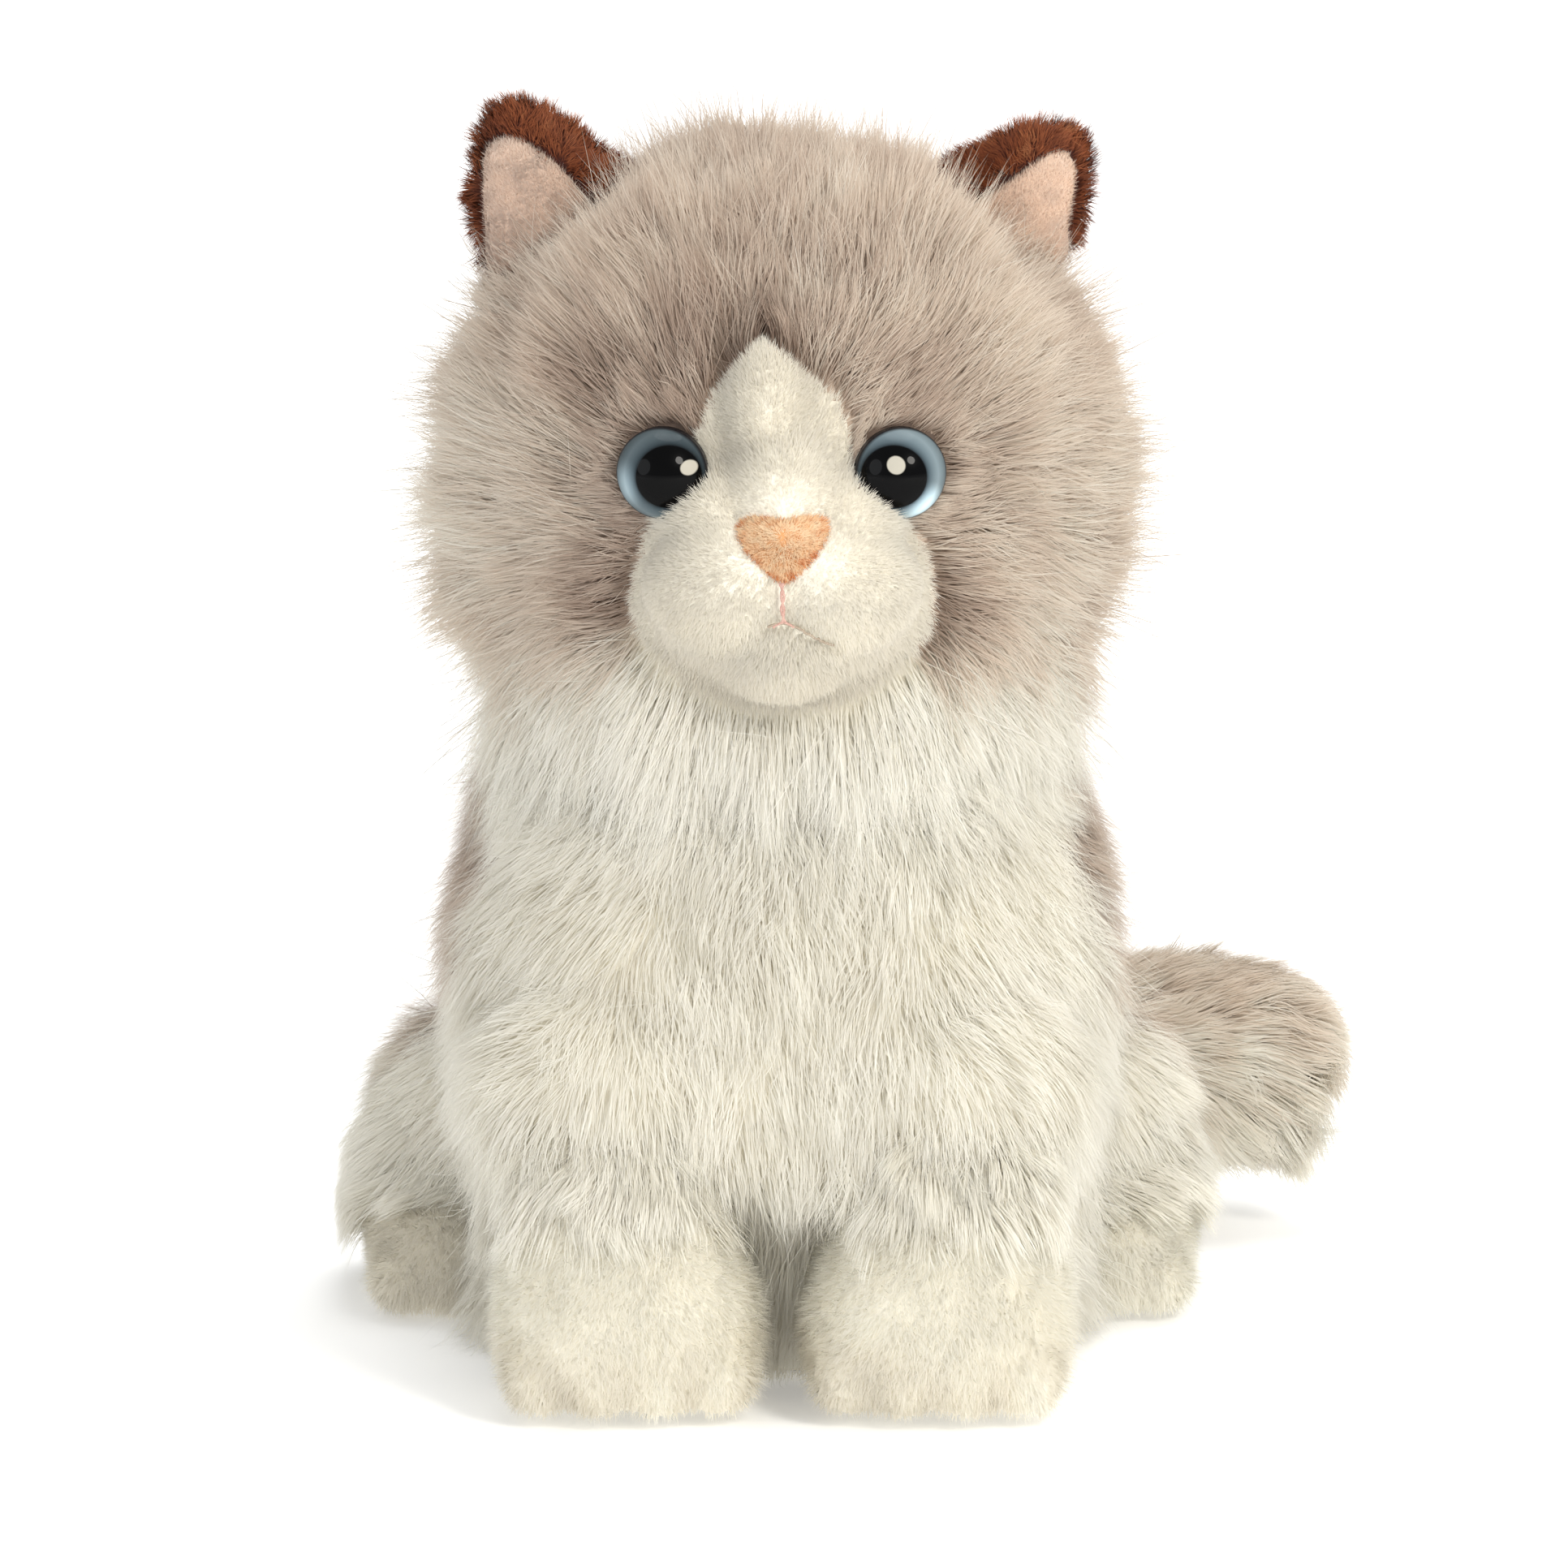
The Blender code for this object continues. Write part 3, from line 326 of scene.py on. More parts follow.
def grow(name, skin, count, seed, mat, mask, style, clump=((44, 0.5), (9, 0.25)), noise=0.03, stray=2.2,
         width=0.25, spread=0.13, segments=3, normal_mix=0.88, floor=-0.15,
         lean=(0.0, 0.0, 0.0)):
    """Ribbon strands over a skin. style(p, n) gives start direction, end
    direction, length in mm and tone (0..1) for each root. The shading normals
    of the hairs point no further down than floor."""
    rng = np.random.default_rng(seed)
    n = max(200, int(count * SHARE))
    p, nr = roots(skin, n, rng, mask)
    d0, d1, length, tone = style(p, nr)
    jit = rng.normal(size=(n, 3))
    if clump:      # the hairs that lead a tuft stray further than the rest
        first = rng.choice(n, max(8, n // clump[0][0]), replace=False)
        jit[first] *= stray
        length = length.copy()
        length[first] *= rng.uniform(0.85, 1.3, len(first))
    d0 = unit(d0 + jit * spread)
    d1 = unit(d1 + jit * spread + rng.normal(size=(n, 3)) * spread * 0.6)
    length = length * rng.uniform(0.72, 1.12, n)
    wid = width / math.sqrt(SHARE) * rng.uniform(0.7, 1.2, n)
    ts = np.linspace(0, 1, segments + 1)
    base = p - nr * 0.5

    def curve(b, a0, a1, l, t):
        return b + l[:, None] * (a0 * t + (a1 - a0) * (t * t / 2))

    pts = [curve(base, d0, d1, length, t) for t in ts]
    for level, (per_clump, pull) in enumerate(clump or ()):
        m = max(8, n // per_clump)
        lead = first if level == 0 else rng.choice(n, m, replace=False)
        kd = kdtree.KDTree(m)
        for i, k in enumerate(lead):
            kd.insert(p[k], i)
        kd.balance()
        own = np.fromiter((kd.find(q)[1] for q in p), dtype=np.int64, count=n)
        g = lead[own]
        ctone = rng.normal(size=m)[own]
        k_amt = pull * rng.uniform(0.5, 1.2, m)[own]
        target = [pts_lead(curve, base, d0, d1, length, g, t) for t in ts]
        for i, t in enumerate(ts):
            if i:
                pts[i] = pts[i] + (target[i] - pts[i]) * (k_amt * t**1.4)[:, None]
        tone = tone + ctone * noise * 0.7
    tone = np.clip(tone + rng.normal(size=n) * noise, 0.012, 0.988)
    up = nr.copy()
    up[:, 2] = np.maximum(up[:, 2], floor)
    up = unit(up + np.array(lean))
    rows_v, rows_n = [], []
    for i, t in enumerate(ts):
        a = pts[max(i - 1, 0)]
        b = pts[min(i + 1, segments)]
        tan = unit(b - a)
        face = unit(nr - tan * (nr * tan).sum(1, keepdims=True) + jit * 0.08)
        side = unit(np.cross(tan, face))
        shade = unit(up * normal_mix + face * (1 - normal_mix) + jit * 0.05)
        w = wid * (1.0, 0.95, 0.66, 0.0)[i] if segments == 3 else wid * (1.0 - t**1.6)
        if i < segments:
            rows_v += [pts[i] - side * w[:, None] / 2, pts[i] + side * w[:, None] / 2]
            rows_n += [shade, shade]
        else:
            rows_v.append(pts[i])
            rows_n.append(shade)
    per = len(rows_v)
    verts = np.stack(rows_v, 1).reshape(-1, 3)
    verts[:, 2] = np.where(verts[:, 2] < 0.8, 0.25 + 0.45 * np.exp(np.minimum(verts[:, 2] - 0.8, 0.0)), verts[:, 2])
    for axis, sign, edge, room in ((0, -1, 85.5, 6.0), (0, 1, 112.5, 8.0), (2, 1, 249.5, 6.0), (1, 1, 114.0, 6.0)):
        over = np.maximum(sign * verts[:, axis] - edge, 0.0)
        verts[:, axis] = np.where(over > 0, sign * (edge + room * np.tanh(over / room)), verts[:, axis])
    verts = verts * MM
    norms = np.stack(rows_n, 1).reshape(-1, 3)
    tris = []
    uvs = []
    for i in range(segments):
        l0, r0 = 2 * i, 2 * i + 1
        if i < segments - 1:
            l1, r1 = 2 * i + 2, 2 * i + 3
            tris += [(l0, l1, r1), (l0, r1, r0)]
        else:
            tris.append((l0, 2 * segments, r0))
    tris = np.array(tris)
    # which way the ribbon faces: outwards, with the root normal
    e1 = rows_v[tris[0][1]] - rows_v[tris[0][0]]
    e2 = rows_v[tris[0][2]] - rows_v[tris[0][0]]
    if (np.cross(e1, e2) * nr).sum(1).mean() < 0:
        tris = tris[:, ::-1]
    idx = (np.arange(n)[:, None, None] * per + tris[None]).reshape(-1, 3)
    uvl = np.zeros((per, 2))
    for i in range(segments):
        uvl[2 * i] = (-0.0028, ts[i])
        uvl[2 * i + 1] = (0.0028, ts[i])
    uvl[2 * segments] = (0.0, 1.0)
    uv_v = np.repeat(uvl[None], n, 0)
    uv_v[:, :, 0] += tone[:, None]
    uv_v[:, :, 1] = uv_v[:, :, 1] * 0.98 + 0.01
    uv_v = uv_v.reshape(-1, 2)

    me = bpy.data.meshes.new(name)
    nt_ = len(idx)
    me.vertices.add(len(verts))
    me.vertices.foreach_set("co", verts.astype(np.float32).ravel())
    me.loops.add(nt_ * 3)
    me.loops.foreach_set("vertex_index", idx.astype(np.int32).ravel())
    me.polygons.add(nt_)
    me.polygons.foreach_set("loop_start", np.arange(0, nt_ * 3, 3, dtype=np.int32))
    me.update(calc_edges=True)
    for uname in ("OFBake", "FurTone"):
        layer = me.uv_layers.new(name=uname)
        layer.data.foreach_set("uv", uv_v[idx.ravel()].astype(np.float32).ravel())
    me.shade_smooth()
    me.normals_split_custom_set_from_vertices(norms.astype(np.float32))
    ob = bpy.data.objects.new(name, me)
    bpy.context.scene.collection.objects.link(ob)
    me.materials.append(mat)
    return ob


def pts_lead(curve, base, d0, d1, length, g, t):
    return curve(base[g], d0[g], d1[g], length[g], t)


def tangent(v, n):
    return unit(v - n * (v * n).sum(1, keepdims=True))


def table_at(rows, x):
    """Plain linear reading of (x, y) rows for an array of x."""
    rows = sorted(rows)
    return np.interp(x, [r[0] for r in rows], [r[1] for r in rows])


def paint(ob, mats, choose):
    """Give each face the finish that choose(centres in mm) picks."""
    me = ob.data
    me.materials.clear()
    for m in mats:
        me.materials.append(m)
    c = np.zeros(len(me.polygons) * 3)
    me.polygons.foreach_get("center", c)
    me.polygons.foreach_set("material_index", choose(c.reshape(-1, 3) / MM).astype(np.int32))


def inside(poly, u, v):
    """Even-odd test of points against a plane outline."""
    res = np.zeros(len(u), bool)
    m = len(poly)
    for i in range(m):
        x0, y0 = poly[i]
        x1, y1 = poly[(i + 1) % m]
        if y0 == y1:
            continue
        hit = ((y0 > v) != (y1 > v)) & (u < (x1 - x0) * (v - y0) / (y1 - y0) + x0)
        res ^= hit
    return res


# ---------------------------------------------------------------- camera
AIM = Vector((0.5, -20.0, 116.7)) * MM
DIST = 2.6
cam_data = bpy.data.cameras.new("camera")
cam_data.sensor_width = 36.0
cam_data.lens = 36.0 * DIST / 0.3091
cam_data.clip_end = 20.0
cam = bpy.data.objects.new("camera", cam_data)
bpy.context.scene.collection.objects.link(cam)
cam.location = AIM + Vector((0, -math.cos(PITCH), math.sin(PITCH))) * DIST
cam.rotation_euler = (math.pi / 2 - PITCH, 0, 0)
bpy.context.scene.camera = cam

# ---------------------------------------------------------------- palettes
TAUPE_TIPS = [
    (0.0, lin(158, 136, 120)), (0.25, lin(196, 176, 160)), (0.5, lin(226, 212, 196)),
    (0.7, lin(234, 225, 212)), (0.82, lin(242, 239, 229)), (1.0, lin(255, 253, 246)),
]
TAUPE_ROOTS = [
    (0.0, lin(100, 78, 66)), (0.25, lin(150, 128, 112)), (0.5, lin(168, 147, 130)),
    (0.7, lin(220, 209, 192)), (0.82, lin(236, 231, 217)), (1.0, lin(252, 248, 236)),
]
FUR_LONG = fur_material("fur_long_pile", TAUPE_ROOTS, TAUPE_TIPS)
FUR_SHORT = fur_material(
    "fur_short_white",
    [(0.0, lin(216, 208, 192)), (0.5, lin(233, 228, 214)), (0.8, lin(252, 247, 234)), (1.0, lin(255, 251, 240))],
    [(0.0, lin(224, 217, 202)), (0.5, lin(241, 236, 224)), (0.8, lin(254, 250, 239)), (1.0, lin(255, 253, 244))],
    rise=(0.0, 0.5),
)
FUR_EAR = fur_material(
    "fur_ear_brown",
    [(0.0, lin(60, 23, 11)), (1.0, lin(102, 46, 24))],
    [(0.0, lin(116, 56, 28)), (0.6, lin(162, 90, 52)), (1.0, lin(204, 138, 92))],
    rough=0.6, translucent=0.15, sheen=0.1, rise=(0.1, 1.0),
)
FUR_LINING = fur_material(
    "fur_ear_lining",
    [(0.0, lin(172, 152, 140)), (0.5, lin(212, 190, 174)), (1.0, lin(240, 216, 196))],
    [(0.0, lin(192, 174, 162)), (0.5, lin(228, 210, 196)), (1.0, lin(252, 232, 214))],
    rise=(0.0, 0.6),
)
FUR_NOSE = fur_material(
    "fur_nose",
    [(0.0, lin(190, 100, 50)), (1.0, lin(232, 184, 134))],
    [(0.0, lin(216, 130, 74)), (0.5, lin(247, 210, 166)), (1.0, lin(253, 230, 196))],
    translucent=0.1, rise=(0.0, 0.6),
)
SKIN_TAUPE = noisy("skin_taupe", lin(178, 158, 140), lin(194, 175, 158), 90, (0.85, 0.95))
SKIN_SHADE = noisy("skin_shade", lin(96, 80, 70), lin(118, 100, 88), 90, (0.85, 0.95))
SKIN_CREAM = noisy("skin_cream", lin(250, 245, 230), lin(254, 250, 238), 90, (0.85, 0.95))
SKIN_BROWN = noisy("skin_ear_brown", lin(52, 18, 10), lin(78, 30, 18), 200, (0.85, 0.95))
SKIN_LINING = noisy("skin_ear_lining", lin(206, 180, 162), lin(222, 198, 180), 120, (0.85, 0.95))
SKIN_NOSE = noisy("skin_nose", lin(220, 152, 96), lin(240, 190, 138), 300, (0.8, 0.95))

# ---------------------------------------------------------------- head skin
HEAD = [
    (127.5, 0, 57.0, -46, 42), (133, 0, 61.5, -50, 46), (141, 0, 64.5, -51.5, 48.5), (150, 0, 67.5, -53, 50),
    (160, 0, 70.0, -54, 51), (170, 0, 71.4, -54, 51.5), (180, 0, 71.2, -54, 51.5), (190, 0, 69.8, -53, 50.5),
    (200, 0, 66.8, -50.5, 48.5), (210, 0, 62.0, -46.5, 44.5), (220, 0, 54.5, -40.5, 38.5), (229, 0, 45.0, -34, 31.5),
    (236, 0, 34.5, -26.5, 23.5), (241.5, 0, 23.0, -18.5, 14.5), (245, 0, 10.0, -9.5, 4.5),
]


def head_inset(v):
    front = smoothstep(-v[:, 1], 18, 46) * smoothstep(38 - np.abs(v[:, 0]), -12, 14) * smoothstep(212 - v[:, 2], -10, 14)
    brow = smoothstep(-v[:, 1], 10, 34) * smoothstep(56 - np.abs(v[:, 0]), 0, 20) * smoothstep(v[:, 2], 180, 200)
    low = smoothstep(140 - v[:, 2], 0, 12)
    cheek = smoothstep(np.abs(v[:, 0]), 40, 60) * smoothstep(204 - v[:, 2], 0, 30)
    crown = smoothstep(v[:, 2], 218, 236)
    return 9.5 - np.maximum(4.5 * front, 3.6 * brow) - 2.0 * low + 2.2 * cheek - 1.2 * crown


head_parts = [
    inset(egg(HEAD, 30, 64, -3.0), head_inset, (128.6, None)),
    ball((0, -40, 160.5), (27.5, 22.5, 19.0)),
    ball((-11.5, -53.5, 163.0), (14.5, 11.0, 12.0)),
    ball((12.0, -53.5, 163.0), (14.5, 11.0, 12.0)),
    ball((0.3, -51.5, 150.0), (12.5, 11.0, 8.5)),
    ball((-14.4, -45.8, 176.0), (9.4, 10.2, 9.2)),
    ball((14.6, -45.8, 176.0), (9.4, 10.2, 9.2)),
    ball((0.0, -45.5, 178.0), (11.5, 12.5, 17.0)),
    ball((-3.0, -44.0, 196.0), (8.0, 9.0, 14.0)),
]
head_skin = fuse("head_skin", head_parts, 1.7, 7, SKIN_TAUPE)

BLAZE_L = [(214, -3.7), (207, -9.5), (202.4, -13.3), (195, -15.6), (188, -16.0), (184, -17.5), (181, -22.5), (176, -26),
           (170, -27.5), (164, -28.8), (158, -27.5), (152, -22.5), (148, -17), (145, -11), (143.2, -3)]
BLAZE_R = [(214, -3.7), (207, 4.0), (202.4, 10.7), (195, 12.8), (188, 13.4), (184, 15.5), (181, 21), (176, 26),
           (170, 28.3), (164, 29.2), (158, 28.5), (152, 23.5), (148, 18), (145, 12), (143.2, 4)]


def panel(p, soft=0.8):
    """1 inside the short white panel of the face, 0 outside."""
    s = rise(p)
    left = table_at(BLAZE_L, s)
    right = table_at(BLAZE_R, s)
    d = np.minimum(p[:, 0] - left, right - p[:, 0])
    d = np.minimum(d, np.minimum(s - 143.2, 213.5 - s))
    return smoothstep(d, -soft, soft) * (p[:, 1] < -20)


EYES = {}
for side, sx in (("left", -1), ("right", 1)):
    toe = math.radians(12.0) * sx
    ax = Vector((math.sin(toe), -math.cos(toe), 0.03)).normalized()
    EYES[side] = (np.array((22.7 * sx, -47.3, 184.5)), np.array(ax))


def from_eye(p):
    """Distance of points from the nearer eye's axis."""
    best = np.full(len(p), 1e9)
    for c, a in EYES.values():
        r = p - c
        d = np.linalg.norm(r - (r @ a)[:, None] * a, axis=1)
        d = np.where(r @ a > -12, d, 1e9)
        best = np.minimum(best, d)
    return best


NOSE_C = (0.2, 173.8)     # across, and height in the front view
NOSE = [(-8.0, 4.9), (-4.2, 5.7), (0.0, 5.0), (4.4, 5.8), (8.3, 5.2), (8.6, 2.0), (7.0, -0.8), (4.8, -3.4), (2.4, -5.8),
        (0.4, -6.6), (-1.8, -5.8), (-4.4, -3.4), (-7.0, -0.9), (-8.6, 2.0)]
STITCH = [(0.0, 166.6), (0.15, 164.2), (0.3, 161.8), (0.4, 159.4)]
MOUTH = [(-2.6, 158.7), (-1.4, 159.2), (0.4, 159.4), (2.6, 158.9), (5.0, 157.7), (7.6, 156.4), (10.0, 155.6)]


def near_line(p, line, r):
    s = rise(p)
    q = np.stack([p[:, 0], s], 1)
    best = np.full(len(p), 1e9)
    for (x0, y0), (x1, y1) in zip(line[:-1], line[1:]):
        a, b = np.array((x0, y0)), np.array((x1, y1))
        t = np.clip(((q - a) @ (b - a)) / ((b - a) @ (b - a)), 0, 1)
        best = np.minimum(best, np.linalg.norm(q - (a + t[:, None] * (b - a)), axis=1))
    return (best < r) & (p[:, 1] < -30)


def nose_zone(p, grow_by=0.0):
    s = rise(p) - NOSE_C[1]
    k = 1.0 + grow_by
    return inside([(x * k, y * k) for x, y in NOSE], p[:, 0] - NOSE_C[0], s) & (p[:, 1] < -40)


def head_long_mask(p, n):
    w = 1.0 - panel(p, 0.6)
    eye = from_eye(p)
    w *= (eye > 8.9) * (1.0 + 1.6 * (1 - smoothstep(eye, 9.5, 13.5)))
    w *= np.where(np.hypot(p[:, 0] / 44, p[:, 1] / 38) < 1, (p[:, 2] > 150) * 1.0, 1.0)
    w *= 1.0 + 0.8 * smoothstep(142 - p[:, 2], 0, 10)
    return w * (1.0 - 0.35 * smoothstep(p[:, 1], 15, 40))


def head_flow(p, n):
    src = np.array((-0.5, -60.0, 174.0))
    out = unit(p - src)
    s = rise(p)
    low = smoothstep(168 - s, 0, 26)
    flow = out + np.stack([0.15 * np.sign(p[:, 0]) * low, 0.0 * low, -1.15 * low], 1)
    back = smoothstep(p[:, 1], -22, 44)
    flow = flow * (1 - back)[:, None] + np.array((0.0, 0.35, -1.2)) * back[:, None]
    up = smoothstep(p[:, 2], 214, 232) * (1 - back)
    flow = flow + up[:, None] * np.array((0.0, -0.15, 0.7))
    wob = np.stack([waves(p, 30, 5), waves(p, 26, 6), waves(p, 28, 7)], 1) * 0.14
    wob = wob + np.stack([waves(p, 10, 8), waves(p, 9, 9), waves(p, 11, 10)], 1) * 0.12
    return tangent(flow + wob, n)


def head_cream(p):
    s = rise(p)
    edge = 156.0 - 0.05 * np.abs(p[:, 0]) + 2.5 * waves(p, 14, 12)
    return smoothstep(edge - s, -5, 7) * smoothstep(8 - p[:, 1], -8, 12)


def head_long(p, n):
    flow = head_flow(p, n)
    s = rise(p)
    crown = smoothstep(p[:, 2], 216, 234)
    fore = smoothstep(-p[:, 1], 8, 36) * smoothstep(p[:, 2], 184, 200)
    lift = 0.42 - 0.12 * fore + 0.16 * crown + 0.5 * (1 - smoothstep(from_eye(p), 9.0, 13.0))
    far = np.linalg.norm((p - np.array((0, -50, 176))) * np.array((1, 0.8, 1)), axis=1)
    length = 9.0 + 9.0 * smoothstep(far, 14, 44) + 5.0 * smoothstep(np.abs(p[:, 0]), 40, 58) * smoothstep(206 - p[:, 2], 0, 20)
    length = length + 3.5 * fore * (1 - crown) + 2.5 * crown * np.exp(-(((np.abs(p[:, 0] - 3.0) - 22) / 7.0) ** 2)) - 2.2 * crown
    length = length - 5.0 * np.exp(-(((np.abs(p[:, 0]) - 39) / 8.0) ** 2)) * smoothstep(p[:, 2], 204, 218)
    length = length - 1.6 * smoothstep(p[:, 0], 50, 62)
    eye = from_eye(p)
    length *= 0.55 + 0.45 * smoothstep(eye, 10, 19)
    length *= 0.92 + 0.10 * waves(p, 34, 11) + 0.06 * waves(p, 8, 17)
    hang = smoothstep(149 - p[:, 2], 0, 15)
    fall = np.clip(24.0 + 4.0 * waves(p, 12, 15) + 5.0 * waves(p, 5, 16), 12, 40)
    length = length * (1 - hang) + fall * hang
    out = unit(p * np.array((1.0, 1.0, 0.0)))
    nape = smoothstep(p[:, 1], 0, 30)
    d0 = unit(n * (lift + 0.55)[:, None] + flow)
    d1 = unit(n * (lift - 0.22)[:, None] + flow)
    d0 = unit(d0 * (1 - hang)[:, None] + (out * (0.6 + 0.5 * nape)[:, None] + np.array((0, 0, -0.8))) * hang[:, None])
    d1 = unit(d1 * (1 - hang)[:, None] + (out * (0.10 + 0.25 * nape)[:, None] + np.array((0, 0, -1.0))) * hang[:, None])
    cream = head_cream(p)
    taupe = 0.46 + 0.055 * waves(p, 16, 13) + 0.05 * waves(p, 5, 14)
    taupe = taupe + (0.10 + 0.05 * (p[:, 0] < 0)) * smoothstep(np.abs(p[:, 0]), 28, 48) * smoothstep(206 - p[:, 2], 0, 26)
    # darker above the tip of the white panel; painted shade in the creases beside the muzzle and over the brows, both
    # stronger on the left, and round the eyes, with the right side painted lighter
    part = np.exp(-(((p[:, 0] + 3.7) / 4.0) ** 2 + ((s - 214) / 5.0) ** 2)) * (p[:, 1] < -20)
    side = np.exp(-(((np.abs(p[:, 0]) - 30.5) / 3.0) ** 2 + ((s - 169) / 9.0) ** 2)) * (p[:, 1] < -20)
    brow = np.exp(-(((p[:, 0] + 24) / 14.0) ** 2 + ((s - 203) / 9.0) ** 2)) * 0.22
    brow = brow + np.exp(-(((p[:, 0] - 14) / 6.0) ** 2 + ((s - 202) / 7.0) ** 2)) * 0.07 - 0.05 * smoothstep(p[:, 0], 16, 30)
    taupe = taupe - brow * (p[:, 1] < -20) + 0.05 * smoothstep(-p[:, 0], 34, 56)
    taupe = taupe - 0.3 * part - (0.26 - 0.14 * (p[:, 0] > 0)) * side - 0.10 * (1 - smoothstep(eye, 9, 14))
    tone = taupe * (1 - cream) + (0.965 + 0.025 * smoothstep(p[:, 0], -10, 40)) * cream
    return d0, d1, length, tone


def head_short_mask(p, n):
    w = panel(p, 0.5) * (from_eye(p) > 7.2)
    w *= ~nose_zone(p, 0.02)
    w *= ~near_line(p, STITCH, 0.55)
    w *= ~near_line(p, MOUTH, 0.4)
    return w


def head_short(p, n):
    s = rise(p)
    src = np.array((0.2, -70.0, 174.0))
    out = unit(p - src)
    low = smoothstep(172 - s, 0, 16)
    flow = tangent(out + np.stack([0 * low, 0 * low, -0.8 * low], 1), n)
    length = 3.0 + 1.2 * smoothstep(158 - s, -4, 8) - 1.0 * (1 - smoothstep(np.hypot(p[:, 0], s - 174), 8, 16))
    d0 = unit(n * 1.15 + flow * 0.6)
    d1 = unit(n * 0.55 + flow)
    length = length + 1.2 * (1 - smoothstep(from_eye(p), 8.5, 12.0))
    # painted shade: the pile darker along the mouth and stitch lines, towards the chin and on the left side; it is also
    # darker higher up the panel
    mouth_crease_shade = near_line(p, MOUTH, 1.3) | near_line(p, STITCH, 1.1)
    tone = 0.58 - 0.10 * smoothstep(s, 176, 192) + 0.04 * waves(p, 16, 21) - 0.3 * mouth_crease_shade - 0.16 * smoothstep(156 - s, -2, 8) - 0.14 * smoothstep(-p[:, 0], 2, 22)
    return d0, d1, length, tone


pieces = []     # the objects made here; each is parented to its body
FURS = []


def put(ob, body):
    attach(ob, body)
    pieces.append(ob)
    return ob


put(head_skin, "head")
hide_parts("head_plush", "muzzle_plush")
paint(
    head_skin, (SKIN_TAUPE, SKIN_CREAM, SKIN_SHADE),
    lambda c: np.where((panel(c) > 0.5) | (head_cream(c) > 0.5), 1, np.where(from_eye(c) < 10.6, 2, 0)),
)
for i in range(4):
    put(
        grow("head_fur_%d" % (i + 1), head_skin, 39000, 100 + i, FUR_LONG, head_long_mask, head_long, noise=0.045, width=0.22),
        "head",
    )
put(
    grow("face_pile", head_skin, 50000, 120, FUR_SHORT, head_short_mask, head_short, clump=(), noise=0.03,
         width=0.2, spread=0.2, segments=2, normal_mix=1.0),
    "head",
)



def stray_hairs(style, more=4.0, up=0.35):
    """A thin layer of longer hairs that stands off the pile."""
    def guard(p, n):
        d0, d1, length, tone = style(p, n)
        return unit(d0 + n * up), unit(d1 + n * up), length * 1.1 + more, tone + 0.03
    return guard


put(
    grow("head_stray", head_skin, 14000, 125, FUR_LONG, lambda p, n: head_long_mask(p, n) * (from_eye(p) > 15),
         stray_hairs(head_long, 4.5, 0.42), clump=((7, 0.35),), width=0.14, spread=0.2, noise=0.05),
    "head",
)

